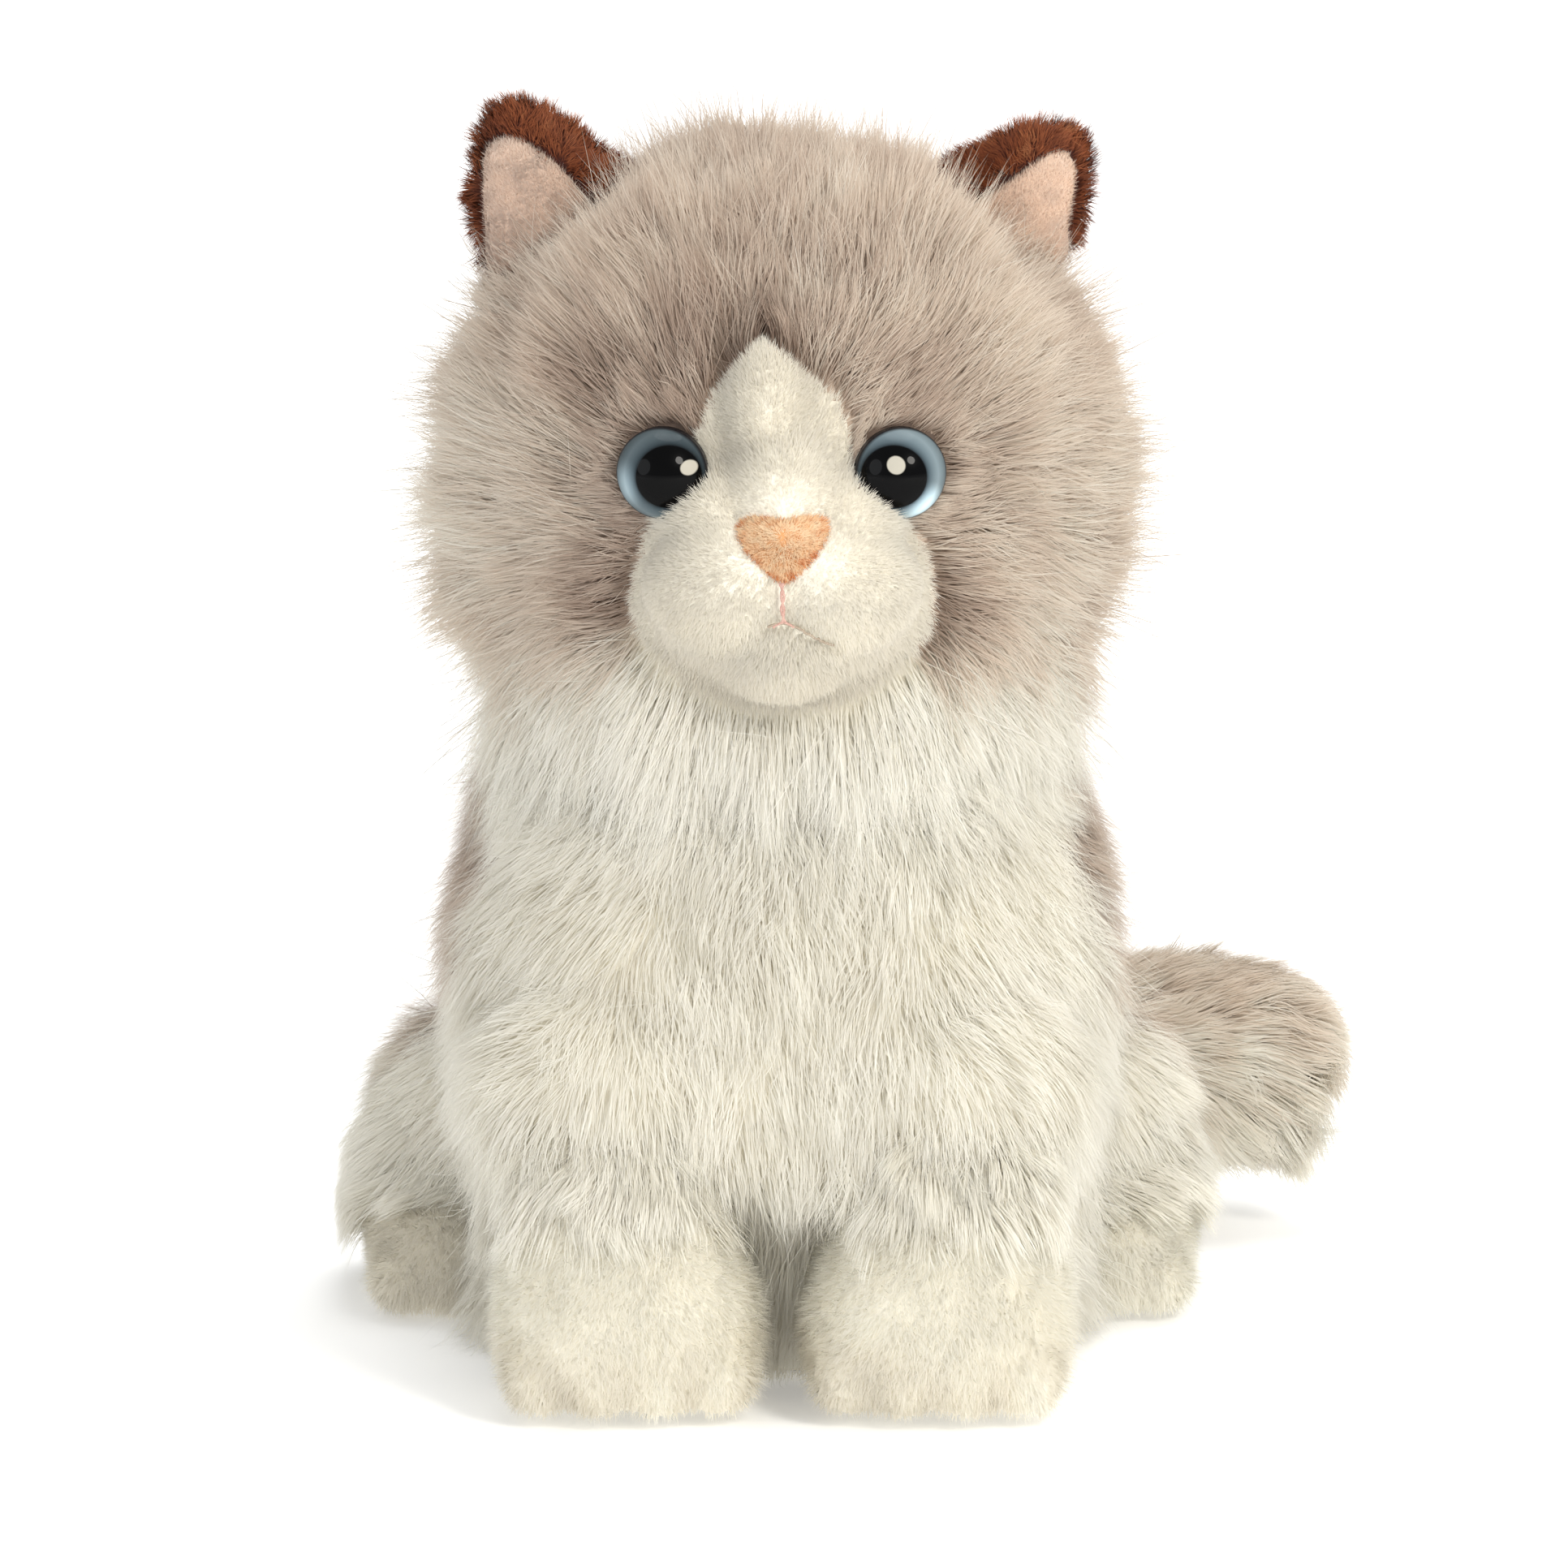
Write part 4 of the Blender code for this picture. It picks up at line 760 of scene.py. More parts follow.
# ---------------------------------------------------------------- eyes
for side, (c, a) in EYES.items():
    sx = -1 if side == "left" else 1
    rot = Vector((0, 0, 1)).rotation_difference(Vector(a)).to_matrix()
    # keep the pattern's "up" upright
    ux = (Vector((1, 0, 0)) - Vector(a) * Vector(a).x).normalized()
    uy = Vector(a).cross(ux).normalized()
    uy = uy if uy.z > 0 else -uy
    R, H = 9.0, 6.2
    rs = (R * R + H * H) / (2 * H)
    rings, segs = 22, 56
    verts, uv = [], []
    for k in range(rings + 1):
        ang = math.asin(min(1.0, R / rs)) * k / rings
        rr, hh = rs * math.sin(ang), rs * math.cos(ang) - (rs - H)
        for i in range(segs if k else 1):
            th = 2 * math.pi * i / segs
            q = Vector(c) + ux * rr * math.cos(th) + uy * rr * math.sin(th) + Vector(a) * (hh + 2.5)
            verts.append(tuple(q * MM))
            uv.append((rr * math.cos(th), rr * math.sin(th)))
    last = len(verts)
    for i in range(segs):      # a short skirt behind the rim
        th = 2 * math.pi * i / segs
        q = Vector(c) + ux * R * math.cos(th) + uy * R * math.sin(th) + Vector(a) * 0.4
        verts.append(tuple(q * MM))
        uv.append((R * 1.02 * math.cos(th), R * 1.02 * math.sin(th)))
    faces = [(0, 1 + i, 1 + (i + 1) % segs) for i in range(segs)]
    for k in range(1, rings + 1):
        b0 = 1 + (k - 1) * segs
        for i in range(segs):
            j = (i + 1) % segs
            faces.append((b0 + i, b0 + segs + i, b0 + segs + j, b0 + j))
    faces.append(tuple(last + i for i in range(segs))[::-1])
    uv_all = uv

    mat, nt, sh, out = nodes_of("eye_paint_" + side)
    uvn = nt.nodes.new("ShaderNodeUVMap")
    uvn.uv_map = "EyeMap"
    dist = nt.nodes.new("ShaderNodeVectorMath")
    dist.operation = "DISTANCE"
    dist.inputs[1].default_value = (0.5 - 0.11 * sx, 0.5, 0.0)
    nt.links.new(uvn.outputs["UV"], dist.inputs[0])
    # the map spans 20 mm, so 0.1 is 2 mm
    iris = ramp(nt, [
        (0.0, lin(3, 3, 4)), (0.303, lin(3, 3, 4)), (0.311, lin(56, 66, 72)), (0.335, lin(90, 105, 113)),
        (0.38, lin(120, 137, 145)), (0.44, lin(144, 161, 168)), (0.5, lin(122, 139, 146)), (0.56, lin(88, 102, 108)),
    ])
    nt.links.new(dist.outputs["Value"], iris.inputs[0])
    nz = nt.nodes.new("ShaderNodeTexNoise")
    nz.inputs["Scale"].default_value = 9.0
    nt.links.new(uvn.outputs["UV"], nz.inputs["Vector"])
    sepu = nt.nodes.new("ShaderNodeSeparateXYZ")
    nt.links.new(uvn.outputs["UV"], sepu.inputs[0])
    shade = nt.nodes.new("ShaderNodeMapRange")       # painted shade: the left iris darker towards the top, the right one nearly even
    shade.inputs["From Min"].default_value = 0.1
    shade.inputs["From Max"].default_value = 0.9
    shade.inputs["To Min"].default_value = 0.9 if side == "right" else 0.72
    shade.inputs["To Max"].default_value = 0.95 if side == "right" else 0.4
    nt.links.new(sepu.outputs["Y"], shade.inputs["Value"])
    # a painted reflection: a bright crescent on the outer side of the left eye and the lower outer side of the right
    # one
    far = nt.nodes.new("ShaderNodeVectorMath")
    far.operation = "DISTANCE"
    turn = math.radians(196 if side == "left" else 302)
    far.inputs[1].default_value = (0.5 + 0.38 * math.cos(turn), 0.5 + 0.38 * math.sin(turn), 0.0)
    nt.links.new(uvn.outputs["UV"], far.inputs[0])
    painted_reflection = nt.nodes.new("ShaderNodeMapRange")
    painted_reflection.interpolation_type = "SMOOTHSTEP"
    painted_reflection.inputs["From Min"].default_value = 0.04
    painted_reflection.inputs["From Max"].default_value = 0.3
    painted_reflection.inputs["To Min"].default_value = 2.0 if side == "left" else 3.0
    painted_reflection.inputs["To Max"].default_value = 0.8
    nt.links.new(far.outputs["Value"], painted_reflection.inputs["Value"])
    tilt = nt.nodes.new("ShaderNodeMath")
    tilt.operation = "MULTIPLY"
    nt.links.new(shade.outputs[0], tilt.inputs[0])
    nt.links.new(painted_reflection.outputs[0], tilt.inputs[1])
    mul = nt.nodes.new("ShaderNodeMix")
    mul.data_type = "RGBA"
    mul.blend_type = "MULTIPLY"
    mul.inputs[0].default_value = 1.0
    nt.links.new(iris.outputs[0], mul.inputs[6])
    nt.links.new(tilt.outputs[0], mul.inputs[7])
    # a painted highlight: a pale disc on each pupil stands in for the lamp's reflection
    hx, hy = (0.5 + 6.2 / 20, 0.5 + 1.9 / 20) if side == "left" else (0.5 - 2.2 / 20, 0.5 + 2.5 / 20)
    d2 = nt.nodes.new("ShaderNodeVectorMath")
    d2.operation = "DISTANCE"
    d2.inputs[1].default_value = (hx, hy, 0.0)
    nt.links.new(uvn.outputs["UV"], d2.inputs[0])
    painted_highlight = nt.nodes.new("ShaderNodeMapRange")
    rad = 0.078 if side == "left" else 0.092
    painted_highlight.inputs["From Min"].default_value = rad - 0.012
    painted_highlight.inputs["From Max"].default_value = rad
    painted_highlight.inputs["To Min"].default_value = 1.0
    painted_highlight.inputs["To Max"].default_value = 0.0
    nt.links.new(d2.outputs["Value"], painted_highlight.inputs["Value"])
    mix = nt.nodes.new("ShaderNodeMix")
    mix.data_type = "RGBA"
    nt.links.new(painted_highlight.outputs[0], mix.inputs[0])
    nt.links.new(mul.outputs[2], mix.inputs[6])
    mix.inputs[7].default_value = lin(186, 181, 168)
    rimd = nt.nodes.new("ShaderNodeVectorMath")     # the dark edge of the lens
    rimd.operation = "DISTANCE"
    rimd.inputs[1].default_value = (0.5, 0.5, 0.0)
    nt.links.new(uvn.outputs["UV"], rimd.inputs[0])
    rim = nt.nodes.new("ShaderNodeMapRange")
    rim.inputs["From Min"].default_value = 0.428
    rim.inputs["From Max"].default_value = 0.446
    nt.links.new(rimd.outputs["Value"], rim.inputs["Value"])
    edge = nt.nodes.new("ShaderNodeMix")
    edge.data_type = "RGBA"
    nt.links.new(rim.outputs[0], edge.inputs[0])
    nt.links.new(mix.outputs[2], edge.inputs[6])
    edge.inputs[7].default_value = lin(26, 26, 30)
    nt.links.new(edge.outputs[2], sh.inputs["Base Color"])
    sh.inputs["Roughness"].default_value = 0.3
    sh.inputs["Coat Weight"].default_value = 0.17
    sh.inputs["Coat Roughness"].default_value = 0.02
    sh.inputs["Specular IOR Level"].default_value = 0.02
    dome = mesh_object("eye_dome_" + side, verts, faces, mat)
    for uname in ("OFBake", "EyeMap"):
        layer = dome.data.uv_layers.new(name=uname)
        for lp in dome.data.loops:
            x, y = uv_all[lp.vertex_index]
            layer.data[lp.index].uv = (0.5 + x / 20, 0.5 + y / 20)
    put(dome, "head")
    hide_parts("eye_lens_" + side)

# ---------------------------------------------------------------- nose and mouth

hv, hn, ht = fetch(head_skin)
TREE = BVHTree.FromPolygons([tuple(x) for x in hv], [tuple(int(i) for i in t) for t in ht])


def on_face(x, s):
    """The point of the face seen at (across, front-view height)."""
    d = Vector((0, math.cos(PITCH), -math.sin(PITCH)))
    up = Vector((0, math.sin(PITCH), math.cos(PITCH)))
    o = Vector((x, FRONT_Y, 0)) + up * s - d * 150
    hit, nrm, _, _ = TREE.ray_cast(o, d)
    return hit, nrm


def smooth_loop(pts, steps=5):
    m = len(pts)
    out = []
    for i in range(m):
        p0, p1, p2, p3 = (pts[(i + k) % m] for k in (-1, 0, 1, 2))
        for k in range(steps):
            t = k / steps
            out.append(tuple(
                0.5 * (2 * b + (c - a) * t + (2 * a - 5 * b + 4 * c - d) * t * t + (3 * b - a - 3 * c + d) * t**3)
                for a, b, c, d in zip(p0, p1, p2, p3)
            ))
    return out


def pillow(name, outline, centre, height, mat, rings=9, sink=0.6):
    """A padded patch that follows the face; height in millimetres at the middle."""
    loop = smooth_loop(outline)
    m = len(loop)
    verts = []
    for k in range(rings + 1):
        t = 1 - k / rings
        for i in range(m if t > 0 else 1):
            x, y = loop[i]
            hit, nrm = on_face(centre[0] + x * t, centre[1] + y * t)
            rise_by = -sink + (height + sink) * (1 - t**2.6) ** 0.5
            verts.append(tuple((hit + Vector((0, -0.97, 0.1)) * rise_by + nrm * 0.0) * MM))
    faces = []
    for k in range(rings - 1):
        for i in range(m):
            j = (i + 1) % m
            faces.append((k * m + i, k * m + j, (k + 1) * m + j, (k + 1) * m + i))
    c = rings * m
    for i in range(m):
        faces.append(((rings - 1) * m + i, (rings - 1) * m + (i + 1) % m, c))
    ob = mesh_object(name, verts, faces, mat)
    me = ob.data
    n = sum((p.normal.y for p in me.polygons))
    if n > 0:
        me.flip_normals()
    return ob


nose = pillow("nose_patch", NOSE, NOSE_C, 2.2, SKIN_NOSE)
put(nose, "head")
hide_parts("nose")


def nose_style(p, n):
    s = rise(p) - NOSE_C[1]
    x = p[:, 0] - NOSE_C[0]
    k = np.ones(len(p)) * 2.0
    for q in range(12):       # how far out towards the edge each root is, 0 to 1
        f = 0.15 + 0.07 * q
        k = np.where((k > 1.5) & inside([(a * f, b * f) for a, b in NOSE], x, s), f, k)
    edge = np.where(k > 1.5, 1.0, k)
    flow = tangent(np.stack([x, 0 * x, s - 2], 1), n)
    tone = 0.8 - 0.78 * edge**3.5 * (0.6 + 0.4 * smoothstep(-s, -3, 3)) + 0.16 * waves(p, 2.6, 31)
    return unit(n + flow * 0.5), unit(n * 0.6 + flow * 0.9), np.full(len(p), 2.1), tone


put(
    grow("nose_pile", nose, 7500, 130, FUR_NOSE, lambda p, n: (n[:, 1] < 0.2) * 1.0, nose_style, clump=(), noise=0.1, width=0.2, spread=0.34, segments=2),
    "head",
)


def thread(name, line, r, mat, lift, twist=0):
    """A sewn thread lying on the face, as a tube with a slight lay."""
    rows = []
    steps = 6
    for (x0, s0), (x1, s1) in zip(line[:-1], line[1:]):
        for k in range(steps):
            t = k / steps
            rows.append((x0 + (x1 - x0) * t, s0 + (s1 - s0) * t))
    rows.append(line[-1])
    pts = []
    for i, (x, s) in enumerate(rows):
        hit, nrm = on_face(x, s)
        pts.append(hit + nrm * lift)
    verts, faces = [], []
    seg = 8
    for i, p in enumerate(pts):
        d = (pts[min(i + 1, len(pts) - 1)] - pts[max(i - 1, 0)]).normalized()
        a = d.cross(Vector((0, -1, 0))).normalized()
        b = a.cross(d)
        rr = r * (1.0 + (0.22 * math.sin(i * 1.9) if twist else 0))
        for k in range(seg):
            th = 2 * math.pi * k / seg
            verts.append(tuple((p + a * rr * math.cos(th) + b * rr * math.sin(th)) * MM))
    for i in range(len(pts) - 1):
        for k in range(seg):
            j = (k + 1) % seg
            faces.append((i * seg + k, i * seg + j, (i + 1) * seg + j, (i + 1) * seg + k))
    faces.append(tuple(range(seg))[::-1])
    faces.append(tuple((len(pts) - 1) * seg + k for k in range(seg)))
    return mesh_object(name, verts, faces, mat)


THREAD = noisy("thread_pink", lin(186, 142, 130), lin(212, 174, 160), 1500, (0.6, 0.8))
THREAD_FAINT = noisy("thread_faint", lin(158, 142, 124), lin(180, 164, 146), 1500, (0.6, 0.8))
for k in (-1, 1):
    put(
        thread("mouth_stitch_%s" % ("a" if k < 0 else "b"), [(x + 0.3 * k * math.cos(1.3 * s) + 0.1 * math.sin(s), s) for x, s in STITCH], 0.27,
               THREAD, 1.5, 1),
        "head",
    )
    put(
        thread("mouth_foot_%s" % ("a" if k < 0 else "b"), [(0.4 + 0.3 * k, 159.6), (0.4 + 1.2 * k, 159.2), (0.4 + 2.0 * k, 158.7)],
               0.24, THREAD, 1.6, 1),
        "head",
    )
put(thread("mouth_line", MOUTH, 0.26, THREAD_FAINT, 1.5), "head")

# ---------------------------------------------------------------- ears
EAR_OUT = {
    "left": [(-58.2, 213), (-62.9, 222.4), (-63.5, 230.3), (-62.6, 238.8), (-60.6, 245.3), (-56.2, 249.4), (-50.9, 250.4),
             (-45.3, 248.6), (-39.8, 245), (-34.9, 240.7), (-30.1, 237.5), (-26.9, 234.7), (-30, 224), (-44, 214)],
    "right": [(26.1, 233.1), (29.9, 236.4), (36.3, 240.4), (42.7, 243.4), (48.3, 245.3), (52.6, 246), (57.9, 244.8),
              (61.6, 241.2), (63.2, 238), (62.7, 232.3), (61.1, 224.1), (58.7, 217.5), (46, 211), (31, 220)],
}
EAR_IN = {
    "left": [(-57.2, 213), (-59.2, 224.1), (-59.5, 232.1), (-59.2, 238), (-57.9, 240.9), (-54.9, 242.4), (-50.9, 241.9),
             (-46.6, 239.3), (-41.4, 235.1), (-36.6, 229.3), (-34.9, 224.9), (-42, 215)],
    "right": [(33.1, 224.1), (37.9, 229), (44.3, 233.6), (49.1, 237.2), (53.1, 239.3), (56.6, 239.0), (58.4, 236.4),
              (58.5, 232.3), (57.3, 224.1), (56.4, 216.5), (46, 212), (36, 218)],
}


def plate(name, outline, y_mid, half, mat, shrink=0.0, rings=8, cup=0.0, lift=0.0, power=2.4):
    """A padded flat shape standing upright, front and back crowned, edges round."""
    loop = np.array(smooth_loop(outline))
    mid = loop.mean(0)
    if shrink:
        nxt = np.roll(loop, -1, 0) - np.roll(loop, 1, 0)
        nrm = np.stack([nxt[:, 1], -nxt[:, 0]], 1)
        nrm /= np.linalg.norm(nrm, axis=1)[:, None]
        sgn = np.sign(((loop - mid) * nrm).sum(1).mean())
        loop = loop - nrm * sgn * shrink
    m = len(loop)
    width = np.ptp(loop[:, 0]) / 2
    verts, faces = [], []

    def add_side(sign):
        ids = []
        for k in range(rings + 1):
            t = 1 - k / rings
            row = []
            for i in range(m if t > 0 else 1):
                q = mid + (loop[i] - mid) * t
                y = y_mid + sign * half * max(0.0, 1 - t**power) ** 0.5 + cup * ((q[0] - mid[0]) / width) ** 2
                if k == 0 and sign > 0:
                    row.append(ids_front[0][i])
                    continue
                verts.append((q[0] * MM, y * MM, (q[1] + lift) * MM))
                row.append(len(verts) - 1)
            ids.append(row)
        for k in range(rings):
            for i in range(m):
                j = (i + 1) % m
                if k < rings - 1:
                    quad = (ids[k][i], ids[k][j], ids[k + 1][j], ids[k + 1][i])
                else:
                    quad = (ids[k][i], ids[k][j], ids[k + 1][0])
                faces.append(quad if sign < 0 else quad[::-1])
        return ids

    ids_front = add_side(-1)
    add_side(1)
    ob = mesh_object(name, verts, faces, mat)
    bm = bmesh.new()
    bm.from_mesh(ob.data)
    bmesh.ops.recalc_face_normals(bm, faces=bm.faces)
    bm.to_mesh(ob.data)
    bm.free()
    ob.data.shade_smooth()
    return ob


for side in ("left", "right"):
    sx = -1 if side == "left" else 1
    lift = 1.2
    back = plate("ear_shell_" + side, EAR_OUT[side], 0.8, 3.6, SKIN_BROWN, shrink=3.2, cup=2.6, lift=lift)
    put(back, "head")
    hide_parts("ear_back_" + side)
    lining = plate("ear_inner_" + side, EAR_IN[side], -3.3, 1.5, SKIN_LINING, shrink=0.9, cup=2.8, lift=lift, power=5)
    put(lining, "head")
    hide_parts("ear_lining_" + side)
    poly = [(x, z + lift) for x, z in EAR_IN[side]]
    mid = np.mean(np.array(EAR_OUT[side]), 0)

    def ear_mask(p, n, poly=poly):
        hid = inside([((x - 46 * sx) * 0.93 + 46 * sx, (z - 229) * 0.93 + 229) for x, z in poly], p[:, 0], p[:, 2])
        return np.where(hid & (n[:, 1] < -0.2), 0.0, 1.0) * (p[:, 2] > 214)

    def ear_style(p, n, mid=mid):
        out = np.stack([p[:, 0] - mid[0], 0 * p[:, 0], p[:, 2] - mid[1] + 6], 1)
        flow = tangent(out + np.stack([waves(p, 9, 41) * 3, waves(p, 8, 42) * 3, waves(p, 9, 43) * 3], 1), n)
        rim = 1 - smoothstep(np.abs(n[:, 1]), 0.2, 0.85)
        length = 4.2 + 1.6 * rim
        tone = 0.42 + 0.12 * waves(p, 6, 44) + 0.3 * rim * smoothstep(p[:, 2], 228, 250)
        return unit(n * 1.0 + flow * 0.55), unit(n * 0.55 + flow * 0.8), length, tone

    put(
        grow("ear_fur_" + side, back, 15000, 140 + sx, FUR_EAR, ear_mask, ear_style, clump=((12, 0.35),), noise=0.07,
             width=0.24, spread=0.22, segments=2),
        "head",
    )

    def lining_style(p, n, mid=mid, sx=sx):
        flow = tangent(np.stack([0.3 * sx + 0 * p[:, 0], 0 * p[:, 0], 1 + 0 * p[:, 0]], 1), n)
        # painted shade: the left lining darker than the right, and both darker towards the bottom where the head fur
        # hangs over them
        tone = (0.56 if sx < 0 else 0.95) + 0.10 * waves(p, 7, 45) - 0.35 * smoothstep(230 - p[:, 2], -4, 12)
        return unit(n * 1.1 + flow * 0.6), unit(n * 0.6 + flow), np.full(len(p), 2.0), tone

    put(
        grow("ear_velour_" + side, lining, 9000, 150 + sx, FUR_LINING, lambda p, n: (n[:, 1] < 0.35) * 1.0, lining_style,
             clump=(), noise=0.05, width=0.26, spread=0.3, segments=2),
        "head",
    )

# ---------------------------------------------------------------- body
TORSO = [
    (0.6, 0, 58.5, -37, 81), (5, 0, 62.5, -40, 85), (18, 0, 64.5, -42.5, 86.5), (32, 0, 66.0, -52, 86.5), (42, 0, 67.5, -72, 86),
    (52, 0, 69.0, -77.5, 85), (64, 0, 69.8, -77.5, 82), (76, 0, 69.8, -75.5, 77.5), (88, 0, 69.4, -72, 71.5),
    (100, 0, 67.0, -66.5, 64.5), (112, 0, 63.5, -59, 57), (120, 0, 60.5, -52.5, 51.5), (126, 0, 56.5, -46.5, 46.5),
]


def torso_inset(v):
    low = smoothstep(26 - v[:, 2], 0, 24)
    back = smoothstep(v[:, 1], 20, 60)
    front = smoothstep(-v[:, 1], 40, 66) * smoothstep(24 - np.abs(v[:, 0]), -10, 14) * smoothstep(112 - v[:, 2], 0, 40)
    bell = smoothstep(38 - v[:, 2], 0, 14) * smoothstep(-v[:, 1], 16, 30)
    return (8.2 - 4.6 * low - 3.4 * back * (1 - low) + 2.5 * front) * (1 - bell) + 2.2 * bell


body_parts = [inset(egg(TORSO, 34, 72, 8.0, 2.6), torso_inset, (0.9, 125.4))]
for sx in (-1, 1):
    body_parts.append(ball((31.5 * sx, -50.0, 62.0), (25.0, 20.0, 24.0)))       # upper front legs
    body_parts.append(ball((30.5 * sx, -54.0, 52.0), (22.5, 15.5, 14.0)))
    body_parts.append(ball((58.0 * sx, 34.0, 40.0), (17.5, 22.0, 20.0)))        # roots of the thighs
body_skin = fuse("body_skin", body_parts, 2.0, 8, SKIN_CREAM)

# the skin stops at the base plate, so what lies over the plate is taken away
bm = bmesh.new()
bm.from_mesh(body_skin.data)
drop = [
    f for f in bm.faces
    if f.calc_center_median().z < 4.2 * MM and abs(f.calc_center_median().x) < 40.3 * MM
    and -30.4 * MM < f.calc_center_median().y < 72.4 * MM
]
bmesh.ops.delete(bm, geom=drop, context="FACES")
bm.to_mesh(body_skin.data)
bm.free()
body_skin.data.shade_smooth()
put(body_skin, "torso")
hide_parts("body_plush")


def cover(p, n):
    """1 where the leg pads hide the torso skin, so nothing is grown there."""
    w = np.zeros(len(p))
    for sx, xc in ((-1, -29.6), (1, 30.6)):
        d = np.maximum(np.abs(p[:, 0] - xc) / 22.0, np.abs(p[:, 1] + 58) / 20.0)
        w = np.maximum(w, (d < 1) & (p[:, 2] < 40))
    return w


def body_mask(p, n):
    w = 1.0 - cover(p, n)
    w *= (p[:, 2] > 2.0) & (n[:, 2] > -0.93)
    w *= np.where((p[:, 2] < 4.6) & (np.abs(p[:, 0]) < 40.5), 0.0, 1.0)
    # none where the head covers the top
    r = np.hypot(p[:, 0] / 40, p[:, 1] / 33)
    w *= np.where((p[:, 2] > 112) & (r < 1), 0.0, 1.0)
    w = w * (1.0 + 1.4 * smoothstep(p[:, 2], 104, 116))
    return w * (1.0 - 0.3 * smoothstep(p[:, 1], 25, 50))


def body_dark(p):
    """1 on the taupe back, 0 on the cream front and lower sides."""
    start = table_at([(40, 60), (52, 36), (64, 18), (74, 0), (82, -26), (104, -30), (112, -22), (126, -8)], p[:, 2] + 3.0 * waves(p, 18, 57))
    return smoothstep(p[:, 1] + 2.5 * waves(p, 15, 56) - start, 0, 9)


SOFT = ((60, 0.36), (10, 0.16))     # looser tufts than on the head


def body_style(p, n):
    x, y, z = p.T
    s = rise(p)
    side = smoothstep(np.abs(x), 20, 60)
    flow = np.stack([0.55 * x / 60, -0.12 * smoothstep(-y, 10, 40) + 0.15 * smoothstep(y, 10, 50), -1.0 + 0 * x], 1)
    wob = np.stack([waves(p, 40, 51), waves(p, 36, 52), 0.4 * waves(p, 34, 53)], 1) * 0.2
    flow = tangent(flow + wob, n)
    bell = smoothstep(34 - z, 0, 10) * smoothstep(-y, 10, 30)       # belly between the legs
    top = smoothstep(z, 104, 122)
    length = 16.5 + 1.8 * waves(p, 30, 54) - 3.5 * bell - 2.0 * top - 4 * smoothstep(16 - z, 0, 14)
    lift = 0.42 + 0.14 * side + 0.10 * waves(p, 24, 55)
    length = length + 4.0 * smoothstep(14 - np.abs(x), -4, 8) * smoothstep(-y, 40, 60) * smoothstep(54 - z, 0, 10) * (1 - bell)
    hem = smoothstep(60 - z, 0, 16) * smoothstep(-y, 30, 56)
    lift = lift * (1 - 0.45 * hem) + 0.15 * bell
    d0 = unit(n * (lift + 0.6)[:, None] + flow)
    d1 = unit(n * (lift - 0.30)[:, None] + flow + np.array((0, 0, -0.25)))
    ring = smoothstep(z, 118, 124)      # fills the neck: out over the shoulder, then down
    nape = smoothstep(y, 0, 30)
    length = length - 5.0 * nape * smoothstep(z, 108, 120)
    out = unit(p * np.array((1.0, 1.0, 0.0)))
    d0 = unit(d0 * (1 - ring)[:, None] + (out * (0.8 - 0.3 * nape)[:, None] + np.array((0, 0, 0.25)) * (1 - 2 * nape)[:, None]) * ring[:, None])
    d1 = unit(d1 * (1 - ring)[:, None] + (out * 0.35 + np.array((0, 0, -0.9))) * ring[:, None])
    dark = body_dark(p)
    # painted light: the cream lighter towards the neck and on the right side
    tone = (0.875 + 0.06 * smoothstep(z, 100, 122) + 0.04 * smoothstep(x, 0, 50) + 0.03 * waves(p, 14, 58)) * (1 - dark) + (0.46 + 0.05 * waves(p, 14, 59)) * dark
    return d0, d1, length, tone


paint(body_skin, (SKIN_CREAM, SKIN_TAUPE), lambda c: body_dark(c) > 0.5)
for i in range(3):
    put(
        grow("body_fur_%d" % (i + 1), body_skin, 39500, 200 + i, FUR_LONG, body_mask, body_style, clump=SOFT, noise=0.012, width=0.23),
        "torso",
    )

put(
    grow("body_stray", body_skin, 7000, 205, FUR_LONG, body_mask, stray_hairs(body_style, 4.0, 0.3), clump=((7, 0.35),), width=0.16,
         spread=0.2, noise=0.016),
    "torso",
)

